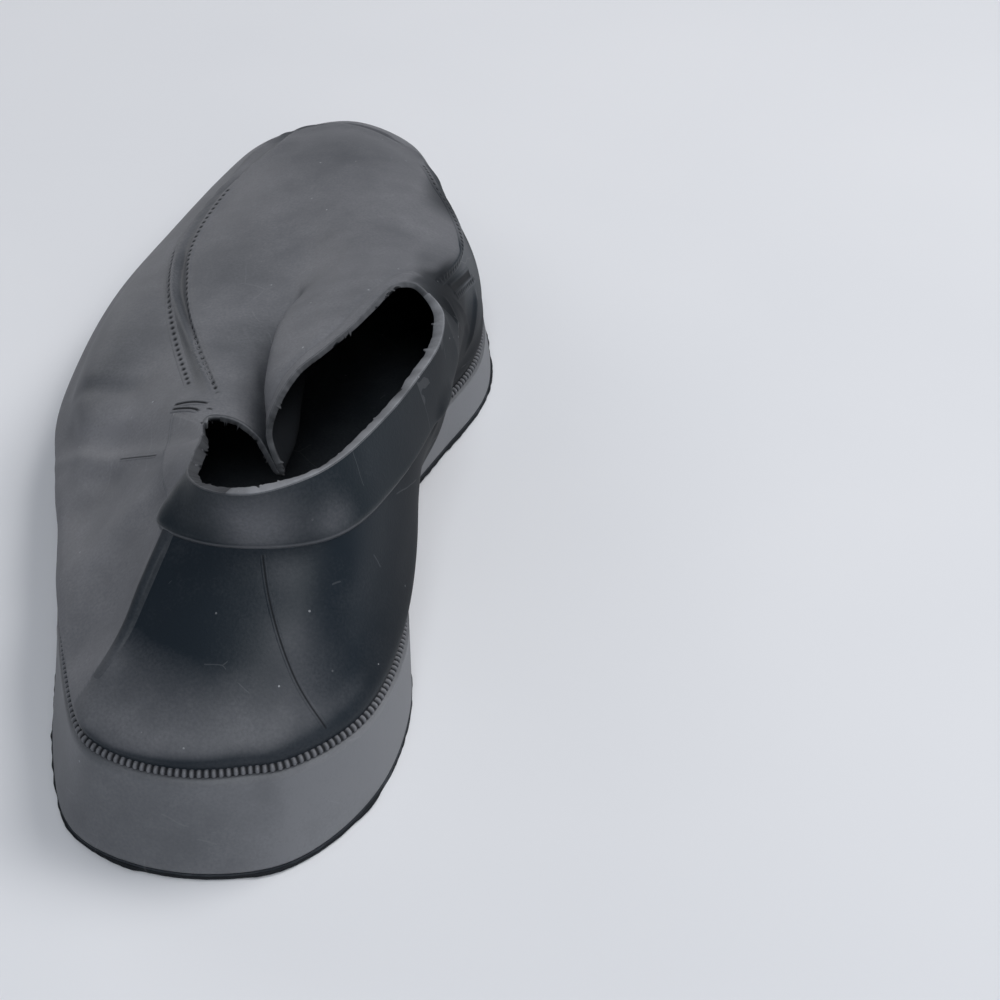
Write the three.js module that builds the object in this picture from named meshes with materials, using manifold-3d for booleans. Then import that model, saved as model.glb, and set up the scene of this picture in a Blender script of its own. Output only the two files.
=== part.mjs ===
// Rubber overshoe for the left foot, a thin moulded galosh that is pulled on over a shoe.
// A flat outsole carries a turned-up side band, the foxing. A bead, the welt, covers the foxing's top
// edge. The upper is one thin wall with a raised apron over the toes, and a band thickens it round the
// foot opening. The soft upper leans to the inner side and its throat sags into a fold.
// Millimetres. +Y points to the toe, +X to the inner side of the foot and +Z up.

import * as THREE from "three";
import { mergeVertices } from "three/addons/utils/BufferGeometryUtils.js";
import Module from "manifold-3d";

// Driving dimensions
const SOLE_LENGTH = 290;
const SOLE_WIDTH = 106;
const UPPER_HEIGHT = 72;
const UPPER_WALL = 1.4;
const COLLAR_WIDTH = 15;
const COLLAR_THICKNESS = 1;
const FOXING_WALL = 2;
const FOXING_HEIGHT_HEEL = 24.8;
const FOXING_HEIGHT_TOE = 12.5;
const FOXING_FLARE = 6;
const WELT_WIDTH = 2.2;
const WELT_HEIGHT = 2.2;
const SOLE_EDGE = 1.6;
const SOLE_THICKNESS = 4.7;
const TREAD_PITCH = 8;
const TREAD_GROOVE = 2.4;
const TREAD_DEPTH = 1.1;
const TREAD_MARGIN = 9;
const GAP = 0.3;

// Where the tread's two fields of grooves start and end, as shares of the sole's length
const TREAD_FIELDS = [
  { from: -0.45, to: -0.24 },
  { from: -0.02, to: 0.42 },
];

// The foxing is high behind the first share of the sole's length and low in front of the second
const FOXING_HIGH_AT = -0.42;
const FOXING_LOW_AT = 0.02;

// Mesh steps: columns for each station around, and rows up the wall
const COLUMNS_PER_STATION = 4;
const COLLAR_ROWS = 4;
const WELT_ROW = 2;
const ROW_SHARES = [0, 0.045, 0.1, 0.165, 0.24, 0.325, 0.42, 0.52, 0.63, 0.75, 0.875];

// The welt's section, as shares of its width out from its seat and of its height up
const WELT_SECTION = [
  // out   rise
  [0,      0.2],
  [0.3,    0],
  [0.8,    0.08],
  [1,      0.5],
  [0.75,   0.95],
  [0,      1],
];

// Stations run around the shoe from the heel's back, along the outer side, round the toe and back
// along the inner side. across is a share of the sole's width, along a share of its length. flare is a
// share of the foxing's flare, and says how far its top edge stands in from its foot.
const SOLE_STATIONS = [
  // place               across  along  flare
  ["heel back",          0.04,  -0.500, 1.00],
  ["heel outer back",   -0.14,  -0.489, 1.00],
  ["heel outer corner", -0.26,  -0.460, 1.00],
  ["heel outer side",   -0.335, -0.390, 0.90],
  ["outer quarter",     -0.395, -0.270, 0.45],
  ["outer waist",       -0.455, -0.155, 0.30],
  ["outer slot",        -0.515, -0.045, 0.25],
  ["outer ball rear",   -0.51,   0.060, 0.25],
  ["outer ball",        -0.475,  0.160, 0.25],
  ["outer ball front",  -0.405,  0.255, 0.25],
  ["outer toe side",    -0.31,   0.357, 0.25],
  ["outer toe corner",  -0.195,  0.450, 0.25],
  ["toe tip",            0.05,   0.500, 0.25],
  ["inner toe corner",   0.265,  0.450, 0.25],
  ["inner toe side",     0.355,  0.367, 0.25],
  ["inner ball front",   0.435,  0.270, 0.25],
  ["inner ball",         0.51,   0.170, 0.25],
  ["inner ball rear",    0.52,   0.080, 0.25],
  ["inner slot",         0.41,  -0.015, 0.20],
  ["inner waist",        0.31,  -0.110, 0.10],
  ["inner quarter",      0.37,  -0.225, 0.00],
  ["heel inner side",    0.415, -0.320, 0.00],
  ["heel inner corner",  0.365, -0.415, 0.05],
  ["heel inner back",    0.215, -0.484, 0.80],
];

// Lines that shape the upper at the same stations. x is a share of the sole's width, y of its length
// and z of the upper's height. The shoulder is where the side wall turns in, and on the forefoot it is
// the apron's ridge. The crown is the top of the vamp, or the foot of the collar. The rim is the cut
// edge. bulge, dome and puff push the wall out between two lines, as shares of the way between them.
const UPPER_STATIONS = [
  // shoulder x, y, z       bulge   crown x, y, z          dome   rim x, y, z             puff
  [[0.085, -0.415, 0.585],  0.02, [0.115, -0.352, 0.79],   0.00, [0.125, -0.348, 1.00],   0.00],
  [[-0.06, -0.400, 0.57],   0.02, [-0.015, -0.341, 0.78],  0.00, [0.04, -0.338, 0.97],    0.00],
  [[-0.15, -0.370, 0.54],   0.02, [-0.085, -0.315, 0.75],  0.00, [-0.01, -0.312, 0.92],   0.00],
  [[-0.24, -0.317, 0.47],  -0.02, [-0.095, -0.270, 0.68],  0.00, [-0.025, -0.276, 0.86],  0.00],
  [[-0.275, -0.240, 0.485], 0.08, [-0.133, -0.228, 0.69],  0.00, [-0.03, -0.238, 0.805],  0.00],
  [[-0.30, -0.165, 0.48],   0.18, [-0.152, -0.190, 0.67],  0.00, [-0.050, -0.211, 0.77],  0.00],
  [[-0.257, -0.090, 0.54],  0.22, [-0.124, -0.130, 0.655], 0.02, [-0.050, -0.174, 0.71],  0.03],
  [[-0.19, -0.028, 0.58],   0.22, [-0.048, -0.097, 0.66],  0.04, [0.005, -0.172, 0.69],   0.03],
  [[-0.23, 0.059, 0.555],   0.15, [-0.01, -0.062, 0.655],  0.05, [0.055, -0.178, 0.645],  0.00],
  [[-0.238, 0.159, 0.515],  0.10, [0.01, -0.028, 0.645],   0.05, [0.088, -0.193, 0.605],  -0.02],
  [[-0.19, 0.262, 0.48],    0.10, [0.085, 0.000, 0.66],    0.05, [0.112, -0.207, 0.585],  -0.10],
  [[-0.12, 0.358, 0.445],   0.05, [0.12, 0.014, 0.69],     0.055, [0.083, -0.196, 0.695], 0.15],
  [[0.057, 0.410, 0.41],    0.06, [0.16, 0.028, 0.735],    0.06, [0.102, -0.186, 0.80],   0.11],
  [[0.20, 0.370, 0.44],     0.10, [0.20, 0.031, 0.765],    0.06, [0.143, -0.166, 0.87],   0.09],
  [[0.325, 0.303, 0.465],   0.12, [0.248, 0.031, 0.78],    0.06, [0.19, -0.148, 0.895],   0.08],
  [[0.395, 0.234, 0.485],   0.10, [0.295, 0.028, 0.785],   0.06, [0.248, -0.121, 0.915],  0.07],
  [[0.452, 0.159, 0.53],    0.12, [0.352, 0.024, 0.78],    0.05, [0.295, -0.083, 0.91],   0.05],
  [[0.471, 0.090, 0.57],    0.12, [0.41, 0.014, 0.755],    0.04, [0.333, -0.048, 0.89],   0.03],
  [[0.48, 0.014, 0.53],     0.12, [0.467, -0.003, 0.68],   0.02, [0.38, -0.035, 0.855],   0.02],
  [[0.457, -0.083, 0.47],   0.10, [0.471, -0.052, 0.64],   0.00, [0.429, -0.052, 0.81],   0.02],
  [[0.433, -0.166, 0.485],  0.08, [0.457, -0.103, 0.64],   0.00, [0.438, -0.093, 0.805],  0.02],
  [[0.424, -0.252, 0.515],  0.05, [0.438, -0.179, 0.665],  0.00, [0.405, -0.162, 0.86],   0.02],
  [[0.371, -0.338, 0.555],  0.03, [0.386, -0.262, 0.745],  0.00, [0.343, -0.245, 0.93],   0.00],
  [[0.257, -0.403, 0.585],  0.02, [0.295, -0.338, 0.80],   0.00, [0.248, -0.320, 0.985],  0.00],
];

// Where the middle points between two lines of the upper lie, as shares of the way
const BULGE_PLACE = 0.5;
const DOME_PLACE = 0.3;
const PUFF_PLACE = 0.5;

// Soft folds and dents of the upper. A fold runs between two places, each a station number and a share
// of the way up the wall. reach and depth are shares of the upper's height, and a negative depth is a
// ridge.
const FOLDS = [
  // name                    from [station, rise]  to [station, rise]  reach   depth
  ["outer quarter crease",   [5.6, 0.25],          [5.0, 0.90],        0.09,   0.035],
  ["outer waist dent",       [4.6, 0.30],          [4.2, 0.60],        0.14,   0.035],
  ["heel corner pinch",      [3.1, 0.10],          [2.8, 0.85],        0.08,   0.020],
  ["heel corner ridge",      [1.9, 0.05],          [2.0, 0.80],        0.045, -0.020],
  ["inner quarter hollow",   [19.6, 0.20],         [20.2, 0.45],       0.16,   0.040],
];

// The collar band runs from the inner slot round the heel to the outer slot
const COLLAR_START = 18;
const COLLAR_END = 5.5;

const STATIONS = SOLE_STATIONS.length;
const COLUMNS = STATIONS * COLUMNS_PER_STATION;
const UP = new THREE.Vector3(0, 0, 1);

const wasm = await Module();
wasm.setup();

// Small helpers

function smoothShare(value, low, high) {
  return THREE.MathUtils.smoothstep(value, low, high);
}

function between(a, b, share) {
  return new THREE.Vector3().lerpVectors(a, b, share);
}

function moved(point, direction, distance) {
  return point.clone().addScaledVector(direction, distance);
}

// A smooth closed line through one point for each station, as a point for each column
function closedLine(points) {
  const curve = new THREE.CatmullRomCurve3(points, true, "centripetal");
  return Array.from({ length: COLUMNS }, (_, column) => curve.getPoint(column / COLUMNS));
}

// One number for each station, smoothly spread over the columns
function closedValues(values) {
  return closedLine(values.map((value, station) => new THREE.Vector3(station, value, 0)))
    .map((point) => point.y);
}

function solidFrom(geometry) {
  const bare = geometry.clone();
  bare.deleteAttribute("normal");
  bare.deleteAttribute("uv");
  const merged = mergeVertices(bare, 1e-4);
  return new wasm.Manifold(new wasm.Mesh({
    numProp: 3,
    vertProperties: new Float32Array(merged.attributes.position.array),
    triVerts: new Uint32Array(merged.index.array),
  }));
}

function geometryFrom(solid) {
  const mesh = solid.getMesh();
  const geometry = new THREE.BufferGeometry();
  geometry.setAttribute("position", new THREE.BufferAttribute(mesh.vertProperties, 3));
  geometry.setIndex(new THREE.BufferAttribute(mesh.triVerts, 1));
  return geometry;
}

// A closed skin over a grid of loops. Each loop is a cross-section of the wall, up its outer face and
// down its inner face, and neighbouring loops are joined. Both faces split their quads the same way, so
// the wall keeps its thickness. A ring closes on itself, and an open strip gets two end faces.
function skinLoops(loops, ring) {
  const size = loops[0].length;
  const positions = loops.flat().flatMap((point) => point.toArray());
  const faces = [];
  const last = ring ? loops.length : loops.length - 1;
  for (let i = 0; i < last; i += 1) {
    const here = i * size;
    const next = ((i + 1) % loops.length) * size;
    for (let j = 0; j < size; j += 1) {
      const k = (j + 1) % size;
      if (j < size / 2) {
        faces.push(here + j, next + k, next + j);
        faces.push(here + j, here + k, next + k);
      } else {
        faces.push(here + j, here + k, next + j);
        faces.push(here + k, next + k, next + j);
      }
    }
  }
  if (!ring) {
    const end = (loops.length - 1) * size;
    for (let j = 0; j < size / 2 - 1; j += 1) {
      const a = j;
      const b = j + 1;
      const c = size - 2 - j;
      const d = size - 1 - j;
      faces.push(a, c, b, a, d, c);
      faces.push(end + a, end + b, end + c, end + a, end + c, end + d);
    }
  }
  const geometry = new THREE.BufferGeometry();
  geometry.setAttribute("position", new THREE.Float32BufferAttribute(positions, 3));
  geometry.setIndex(faces);
  return geometry;
}

function rubberMesh(name, geometry, colour, roughness) {
  const flat = geometry.toNonIndexed();
  flat.computeVertexNormals();
  const material = new THREE.MeshStandardMaterial({ color: colour, roughness, metalness: 0 });
  const mesh = new THREE.Mesh(flat, material);
  mesh.name = name;
  return mesh;
}

// Sole outline and the lines that follow from it

const outline = closedLine(SOLE_STATIONS.map(([, across, along]) => (
  new THREE.Vector3(across * SOLE_WIDTH, along * SOLE_LENGTH, 0)
)));

const outward = outline.map((_, column) => {
  const before = outline[(column + COLUMNS - 1) % COLUMNS];
  const after = outline[(column + 1) % COLUMNS];
  return new THREE.Vector3().subVectors(after, before).cross(UP).normalize().negate();
});

const foxingFlare = closedValues(SOLE_STATIONS.map(([, , , flare]) => flare * FOXING_FLARE));

// Share of the heel's foxing at a column: 1 at the heel, 0 on the forefoot
const heelShare = outline.map((point) => (
  1 - smoothShare(point.y, FOXING_HIGH_AT * SOLE_LENGTH, FOXING_LOW_AT * SOLE_LENGTH)
));
const foxingHeight = heelShare.map((share) => (
  THREE.MathUtils.lerp(FOXING_HEIGHT_TOE, FOXING_HEIGHT_HEEL, share)
));
const FOXING_FOOT = SOLE_EDGE + GAP;
const UPPER_FOOT = SOLE_THICKNESS + GAP;

// A point of the foxing's slanted side: how far in from its outer face, and how high
function foxingPoint(column, inset, height) {
  const share = (height - FOXING_FOOT) / (foxingHeight[column] - FOXING_FOOT);
  const point = moved(outline[column], outward[column], -foxingFlare[column] * share - inset);
  point.z = height;
  return point;
}

function makeOutsole() {
  const shapeAt = (inset) => new THREE.Shape(outline.map((point, column) => {
    const spot = moved(point, outward[column], -inset);
    return new THREE.Vector2(spot.x, spot.y);
  }).reverse());
  const plate = (inset, depth) => new THREE.ExtrudeGeometry(shapeAt(inset), {
    depth, bevelEnabled: false, steps: 1,
  });
  const inner = outline.map((_, column) => (
    foxingPoint(column, FOXING_WALL + GAP, SOLE_THICKNESS)
  ));
  const innerShape = new THREE.Shape(inner.map((point) => new THREE.Vector2(point.x, point.y)).reverse());
  const innerPlate = new THREE.ExtrudeGeometry(innerShape, {
    depth: SOLE_THICKNESS, bevelEnabled: false, steps: 1,
  });
  const field = plate(TREAD_MARGIN, TREAD_DEPTH * 2);
  field.translate(0, 0, -TREAD_DEPTH);
  const fieldSolid = solidFrom(field);
  let sole = solidFrom(plate(0, SOLE_EDGE)).add(solidFrom(innerPlate));
  for (const { from, to } of TREAD_FIELDS) {
    for (let y = from * SOLE_LENGTH; y <= to * SOLE_LENGTH; y += TREAD_PITCH) {
      const groove = new THREE.BoxGeometry(SOLE_WIDTH * 2, TREAD_GROOVE, TREAD_DEPTH * 2);
      groove.translate(0, y, 0);
      sole = sole.subtract(fieldSolid.intersect(solidFrom(groove)));
    }
  }
  return rubberMesh("outsole", geometryFrom(sole), 0x1c1d1f, 0.75);
}

function makeFoxing() {
  const loops = outline.map((_, column) => {
    const heights = [FOXING_FOOT, UPPER_FOOT, foxingHeight[column]];
    return [
      ...heights.map((height) => foxingPoint(column, 0, height)),
      ...heights.reverse().map((height) => foxingPoint(column, FOXING_WALL, height)),
    ];
  });
  return rubberMesh("foxing", skinLoops(loops, true), 0x2b2d31, 0.6);
}

// The welt is a bead that sits on the foxing's top edge and hugs the upper
function makeWelt() {
  const loops = outline.map((_, column) => {
    const foot = foxingHeight[column] + GAP;
    const seat = foxingPoint(column, FOXING_WALL, foxingHeight[column]);
    return WELT_SECTION.map(([out, rise]) => {
      const point = moved(seat, outward[column], out * WELT_WIDTH);
      point.z = foot + rise * WELT_HEIGHT;
      return point;
    });
  });
  return rubberMesh("welt", skinLoops(loops, true), 0x26282b, 0.55);
}

// The upper's outer face: a grid of points, row by row from the sole to the rim

function stationLine(index) {
  return closedLine(UPPER_STATIONS.map((row) => {
    const [x, y, z] = row[index];
    return new THREE.Vector3(x * SOLE_WIDTH, y * SOLE_LENGTH, z * UPPER_HEIGHT);
  }));
}

const shoulderLine = stationLine(0);
const crownLine = stationLine(2);
const rimLine = stationLine(4);
const bulge = closedValues(UPPER_STATIONS.map((row) => row[1]));
const dome = closedValues(UPPER_STATIONS.map((row) => row[3]));
const puff = closedValues(UPPER_STATIONS.map((row) => row[5]));

// A point between two others, pushed out and up at right angles to the way between them
function pushedPoint(start, end, place, push, column) {
  const way = new THREE.Vector3().subVectors(end, start);
  const side = outward[column].clone().add(UP);
  side.addScaledVector(way, -side.dot(way) / way.lengthSq()).normalize();
  return moved(between(start, end, place), side, push * way.length());
}

function wallColumn(column) {
  const inset = FOXING_WALL + GAP;
  const top = foxingHeight[column];
  const foot = foxingPoint(column, inset, UPPER_FOOT);
  const seat = foxingPoint(column, inset, top);
  const lift = GAP + WELT_HEIGHT + GAP;
  const start = seat.clone();
  start.z = top + lift;
  const shoulder = shoulderLine[column];
  const crown = crownLine[column];
  const rim = rimLine[column];
  const curve = new THREE.CatmullRomCurve3([
    seat,
    start,
    pushedPoint(start, shoulder, BULGE_PLACE, bulge[column], column),
    shoulder,
    pushedPoint(shoulder, crown, DOME_PLACE, dome[column], column),
    crown,
    pushedPoint(crown, rim, PUFF_PLACE, puff[column], column),
    rim,
  ], false, "centripetal");
  curve.arcLengthDivisions = 400;
  const length = curve.getLength();
  const low = lift / length;
  const high = 1 - COLLAR_WIDTH / length;
  const rows = ROW_SHARES.map((share) => curve.getPointAt(THREE.MathUtils.lerp(low, high, share)));
  rows[0] = start;
  for (let row = 0; row <= COLLAR_ROWS; row += 1) {
    rows.push(curve.getPointAt(THREE.MathUtils.lerp(high, 1, row / COLLAR_ROWS)));
  }
  return [foot, seat, ...rows];
}

// Outward directions of a grid of columns, from the neighbours of each point
function gridNormals(grid) {
  return grid.map((points, column) => points.map((_, row) => {
    const before = grid[(column + grid.length - 1) % grid.length][row];
    const after = grid[(column + 1) % grid.length][row];
    const below = points[Math.max(row - 1, 0)];
    const above = points[Math.min(row + 1, points.length - 1)];
    const around = new THREE.Vector3().subVectors(after, before);
    const rise = new THREE.Vector3().subVectors(above, below);
    return rise.cross(around).normalize();
  }));
}

function gridPoint(grid, station, rise) {
  const column = Math.round(station * COLUMNS_PER_STATION) % COLUMNS;
  const row = WELT_ROW + Math.round(rise * (grid[0].length - 1 - WELT_ROW));
  return grid[column][row];
}

// Each fold pushes the wall in above the welt, most on its own line and less at its ends
function foldedGrid(grid) {
  const normals = gridNormals(grid);
  const folds = FOLDS.map(([, from, to, reach, depth]) => ({
    line: new THREE.Line3(gridPoint(grid, ...from), gridPoint(grid, ...to)),
    reach: reach * UPPER_HEIGHT,
    depth: depth * UPPER_HEIGHT,
  }));
  return grid.map((points, column) => points.map((point, row) => {
    if (row <= WELT_ROW) return point;
    let push = 0;
    for (const { line, reach, depth } of folds) {
      const nearest = line.closestPointToPoint(point, true, new THREE.Vector3());
      push += depth * Math.exp(-((nearest.distanceTo(point) / reach) ** 2));
    }
    return moved(point, normals[column][row], -push);
  }));
}

const outerGrid = foldedGrid(outline.map((_, column) => wallColumn(column)));
const outerNormals = gridNormals(outerGrid);

// The lowest row stays level, so that the wall stands square on the sole
function offsetColumn(column, distance) {
  return outerGrid[column].map((point, row) => {
    const spot = moved(point, outerNormals[column][row], distance);
    return row === 0 ? spot.setZ(point.z) : spot;
  });
}

function makeUpper() {
  const loops = outerGrid.map((points, column) => (
    [...points, ...offsetColumn(column, -UPPER_WALL).reverse()]
  ));
  return rubberMesh("upper", skinLoops(loops, true), 0x2a2c30, 0.6);
}

function makeCollar() {
  const loops = [];
  const first = COLLAR_START * COLUMNS_PER_STATION;
  const last = COLUMNS + COLLAR_END * COLUMNS_PER_STATION;
  for (let step = first; step <= last; step += 1) {
    const column = step % COLUMNS;
    const rows = (distance) => offsetColumn(column, distance).slice(-COLLAR_ROWS - 1);
    loops.push([...rows(GAP + COLLAR_THICKNESS), ...rows(GAP).reverse()]);
  }
  return rubberMesh("collar_band", skinLoops(loops, false), 0x33373d, 0.5);
}

const overshoe = new THREE.Group();
overshoe.add(makeOutsole(), makeFoxing(), makeWelt(), makeUpper(), makeCollar());

// The frame's origin is the middle of the object's box, on the ground
const box = new THREE.Box3().setFromObject(overshoe);
const middle = box.getCenter(new THREE.Vector3());
overshoe.position.set(-middle.x, -middle.y, -box.min.z);

export default overshoe;
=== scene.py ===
# %% [markdown]
# Rubber overshoe for the left foot.
# The real thing is a thin moulded galosh of black rubber that is pulled on over a shoe. A flat sole
# carries a smooth side band, a knurled bead covers the band's top edge, and a thin soft upper rises
# from there to a cut opening with a thicker band round it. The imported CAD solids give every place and
# size. This lesson dresses them: the wall is made smooth, gets its creases, seams and torn edge, and
# then its worn rubber.

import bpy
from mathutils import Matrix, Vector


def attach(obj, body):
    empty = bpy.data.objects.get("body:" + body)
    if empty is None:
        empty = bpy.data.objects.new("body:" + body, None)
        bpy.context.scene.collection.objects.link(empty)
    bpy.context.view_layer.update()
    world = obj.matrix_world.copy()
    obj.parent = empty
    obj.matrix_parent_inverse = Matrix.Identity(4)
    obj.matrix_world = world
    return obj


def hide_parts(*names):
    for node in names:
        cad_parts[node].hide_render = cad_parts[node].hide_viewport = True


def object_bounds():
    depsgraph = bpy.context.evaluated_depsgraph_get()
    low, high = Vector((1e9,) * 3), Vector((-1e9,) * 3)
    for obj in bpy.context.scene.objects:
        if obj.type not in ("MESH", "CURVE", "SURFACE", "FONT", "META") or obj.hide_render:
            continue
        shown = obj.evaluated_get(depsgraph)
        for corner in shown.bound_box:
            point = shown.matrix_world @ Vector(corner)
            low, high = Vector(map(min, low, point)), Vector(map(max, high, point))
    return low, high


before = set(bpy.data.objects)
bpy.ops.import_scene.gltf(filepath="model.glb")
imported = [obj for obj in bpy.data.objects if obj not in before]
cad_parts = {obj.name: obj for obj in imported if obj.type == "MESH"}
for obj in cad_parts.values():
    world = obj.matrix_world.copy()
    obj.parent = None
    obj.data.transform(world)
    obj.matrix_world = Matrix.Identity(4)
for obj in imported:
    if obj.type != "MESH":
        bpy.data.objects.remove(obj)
cad_box = [list(corner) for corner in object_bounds()]

import math

import bmesh
import bpy
import numpy as np
from mathutils import Vector
from mathutils.bvhtree import BVHTree

MM = 0.001
print("CAD nodes:", sorted(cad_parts))
print("CAD box in millimetres:", [[round(side / MM, 1) for side in corner] for corner in cad_box])

# %% [markdown]
# The camera comes first, because many small things on the wall, such as a seam or a scratch, are easiest
# to place by where they show. The camera stands behind the heel and looks down at 41 degrees through
# a 72 mm lens, which was fitted to the outline of the sole. A ray through a picture point then finds
# the same spot on the wall, so the mark lies on the surface and is right from every side.

# %% Camera and its rays
CAMERA_SPOT = Vector((79.3, -410.5, 341.2)) * MM
CAMERA_TARGET = Vector((60.5, -18.6, 0.0)) * MM
LENS = 72.0
SENSOR = 36.0
NEAREST = 0.01
FARTHEST = 20.0
PICTURE_SIZE = 1000
FOCAL = PICTURE_SIZE * LENS / SENSOR

bpy.ops.object.select_all(action="DESELECT")
bpy.ops.object.camera_add(location=CAMERA_SPOT)
camera = bpy.context.object
camera.name = "camera"
camera.data.lens = LENS
camera.data.sensor_width = SENSOR
camera.data.clip_start = NEAREST
camera.data.clip_end = FARTHEST
camera.rotation_mode = "QUATERNION"
camera.rotation_quaternion = (CAMERA_TARGET - CAMERA_SPOT).to_track_quat("-Z", "Y")
bpy.context.scene.camera = camera
bpy.context.view_layer.update()


def picture_ray(across, down):
    """The direction from the camera through a picture point."""
    half = PICTURE_SIZE / 2
    return (camera.rotation_quaternion @ Vector((across - half, half - down, -FOCAL))).normalized()


print("camera at", [round(x / MM) for x in CAMERA_SPOT], "mm, focal length in picture points", FOCAL)

# %% [markdown]
# The overshoe stands on plain pale paper. Rubber shows its shape mostly by its soft highlights, so the
# lights are few and each has one job. A large soft key light on the right, high up and a little beyond
# the object, brightens every face that looks up and throws the pale shadow. A small one over the heel
# draws the heel's highlight, a weak one in front keeps the band from going black, and a low one behind
# on the left lights the outer side. A dim bluish surround fills the rest.

# %% Floor and lights
FLOOR_SIZE = 7.0
LIGHTS = [
    # name          spot                   target            size  watts  colour
    ("key_light",   (0.80, 0.35, 1.25),    (0, 0, 0),        0.80, 13.5,  (1.0, 0.985, 0.97)),
    ("heel_light",  (0.12, -0.85, 1.15),   (0, -0.1, 0.04),  0.40, 5.5,   (0.93, 0.97, 1.0)),
    ("front_light", (0.7, -1.5, 1.0),      (0.15, -0.3, 0),  0.90, 2.5,   (1.0, 0.99, 0.98)),
    ("back_light",  (-0.95, 1.10, 0.50),   (0, 0, 0.03),     0.90, 4.5,   (1.0, 0.99, 0.98)),
]
SURROUND_COLOUR = (0.86, 0.90, 1.0, 1)
SURROUND_STRENGTH = 0.20

bpy.ops.mesh.primitive_plane_add(size=FLOOR_SIZE, location=(0, 0, 0))
floor = bpy.context.object
floor.name = "paper_floor"

for name, spot, target, size, watts, colour in LIGHTS:
    bpy.ops.object.light_add(type="AREA", location=spot)
    light = bpy.context.object
    light.name = name
    light.data.size = size
    light.data.energy = watts
    light.data.color = colour
    light.rotation_mode = "QUATERNION"
    light.rotation_quaternion = (Vector(target) - Vector(spot)).to_track_quat("-Z", "Y")

world = bpy.context.scene.world or bpy.data.worlds.new("studio")
bpy.context.scene.world = world
world.use_nodes = True
surround = world.node_tree.nodes["Background"]
surround.inputs["Color"].default_value = SURROUND_COLOUR
surround.inputs["Strength"].default_value = SURROUND_STRENGTH
bpy.context.scene.view_settings.view_transform = "Standard"

# %% [markdown]
# Worn rubber looks the way it does because of three thin things on it: bloom, a whitish dust that the
# rubber sweats out where it isn't rubbed, fine moulding grain, and scuffs. Each is a small shader group
# with named inputs, and every material of the overshoe mixes them with its own values. What follows the
# form, such as where bloom gathers, is worked out on the mesh and kept as an attribute. The same
# attributes also carry painted light: painted highlights and reflections ride with the bloom and the
# wear, and painted shade darkens hollows, the opening and faces turned from the light.

# %% Helpers for shader groups
def shader_group(name, inputs, outputs):
    """An empty shader group with named sockets, and its two end nodes."""
    group = bpy.data.node_groups.new(name, "ShaderNodeTree")
    for label, kind, value in inputs:
        socket = group.interface.new_socket(label, in_out="INPUT", socket_type="NodeSocket" + kind)
        if value is not None:
            socket.default_value = value
    for label, kind in outputs:
        group.interface.new_socket(label, in_out="OUTPUT", socket_type="NodeSocket" + kind)
    return group, group.nodes.new("NodeGroupInput"), group.nodes.new("NodeGroupOutput")


def feed(tree, socket, value):
    """Gives a socket a number or colour, or links another socket to it."""
    if isinstance(value, (int, float, tuple)):
        socket.default_value = value
    else:
        tree.links.new(value, socket)


def noise(tree, place, scale, detail=2.0):
    """A noise texture's values on a place. The scale is in waves per metre."""
    node = tree.nodes.new("ShaderNodeTexNoise")
    node.inputs["Scale"].default_value = scale
    node.inputs["Detail"].default_value = detail
    tree.links.new(place, node.inputs["Vector"])
    return node.outputs[0]


def maths(tree, operation, *values):
    """The result of a maths node on numbers or sockets, kept between 0 and 1 for 'CLAMP'."""
    node = tree.nodes.new("ShaderNodeMath")
    node.use_clamp = operation == "CLAMP"
    node.operation = "ADD" if operation == "CLAMP" else operation
    if operation == "CLAMP":
        values = (*values, 0.0)
    for socket, value in zip(node.inputs, values):
        feed(tree, socket, value)
    return node.outputs[0]


def blend(tree, share, first, second):
    """A mix of two colours by a share."""
    node = tree.nodes.new("ShaderNodeMix")
    node.data_type = "RGBA"
    for socket, value in zip((node.inputs[0], node.inputs[6], node.inputs[7]), (share, first, second)):
        feed(tree, socket, value)
    return node.outputs[2]


# %% Grain of moulded rubber
FINE_WAVES = 1500.0
RIPPLE_WAVES = 130.0
CLOUD_WAVES = 24.0

grain_group, grain_in, grain_out = shader_group(
    "moulded_grain",
    [("Place", "Vector", None), ("Fine", "Float", 1.0), ("Ripple", "Float", 1.0)],
    [("Height", "Float"), ("Cloud", "Float"), ("Mottle", "Float")],
)
fine_grain = noise(grain_group, grain_in.outputs["Place"], FINE_WAVES)
soft_ripple = noise(grain_group, grain_in.outputs["Place"], RIPPLE_WAVES, 3.0)
cloud = noise(grain_group, grain_in.outputs["Place"], CLOUD_WAVES, 3.0)
fine_part = maths(grain_group, "MULTIPLY", fine_grain, grain_in.outputs["Fine"])
ripple_part = maths(grain_group, "MULTIPLY", soft_ripple, grain_in.outputs["Ripple"])
grain_group.links.new(maths(grain_group, "ADD", fine_part, ripple_part), grain_out.inputs["Height"])
grain_group.links.new(cloud, grain_out.inputs["Cloud"])
grain_group.links.new(maths(grain_group, "MULTIPLY", soft_ripple, fine_grain), grain_out.inputs["Mottle"])

# %% Specks of lint and dust
speck_group, speck_in, speck_out = shader_group(
    "dust_specks",
    [("Place", "Vector", None), ("Spread", "Float", 210.0), ("Size", "Float", 0.06), ("Share", "Float", 0.5)],
    [("Specks", "Float")],
)
cells = speck_group.nodes.new("ShaderNodeTexVoronoi")
speck_group.links.new(speck_in.outputs["Place"], cells.inputs["Vector"])
speck_group.links.new(speck_in.outputs["Spread"], cells.inputs["Scale"])
near_middle = maths(speck_group, "LESS_THAN", cells.outputs["Distance"], speck_in.outputs["Size"])
chosen = speck_group.nodes.new("ShaderNodeSeparateColor")
speck_group.links.new(cells.outputs["Color"], chosen.inputs[0])
picked = maths(speck_group, "LESS_THAN", chosen.outputs[0], speck_in.outputs["Share"])
strength = maths(speck_group, "MULTIPLY", picked, chosen.outputs[1])
speck_group.links.new(maths(speck_group, "MULTIPLY", near_middle, strength), speck_out.inputs["Specks"])

# %% Hairline scratches
WANDER_WAVES = 60.0
WANDER_REACH = 4 * MM
BREAK_WAVES = 75.0

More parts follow.
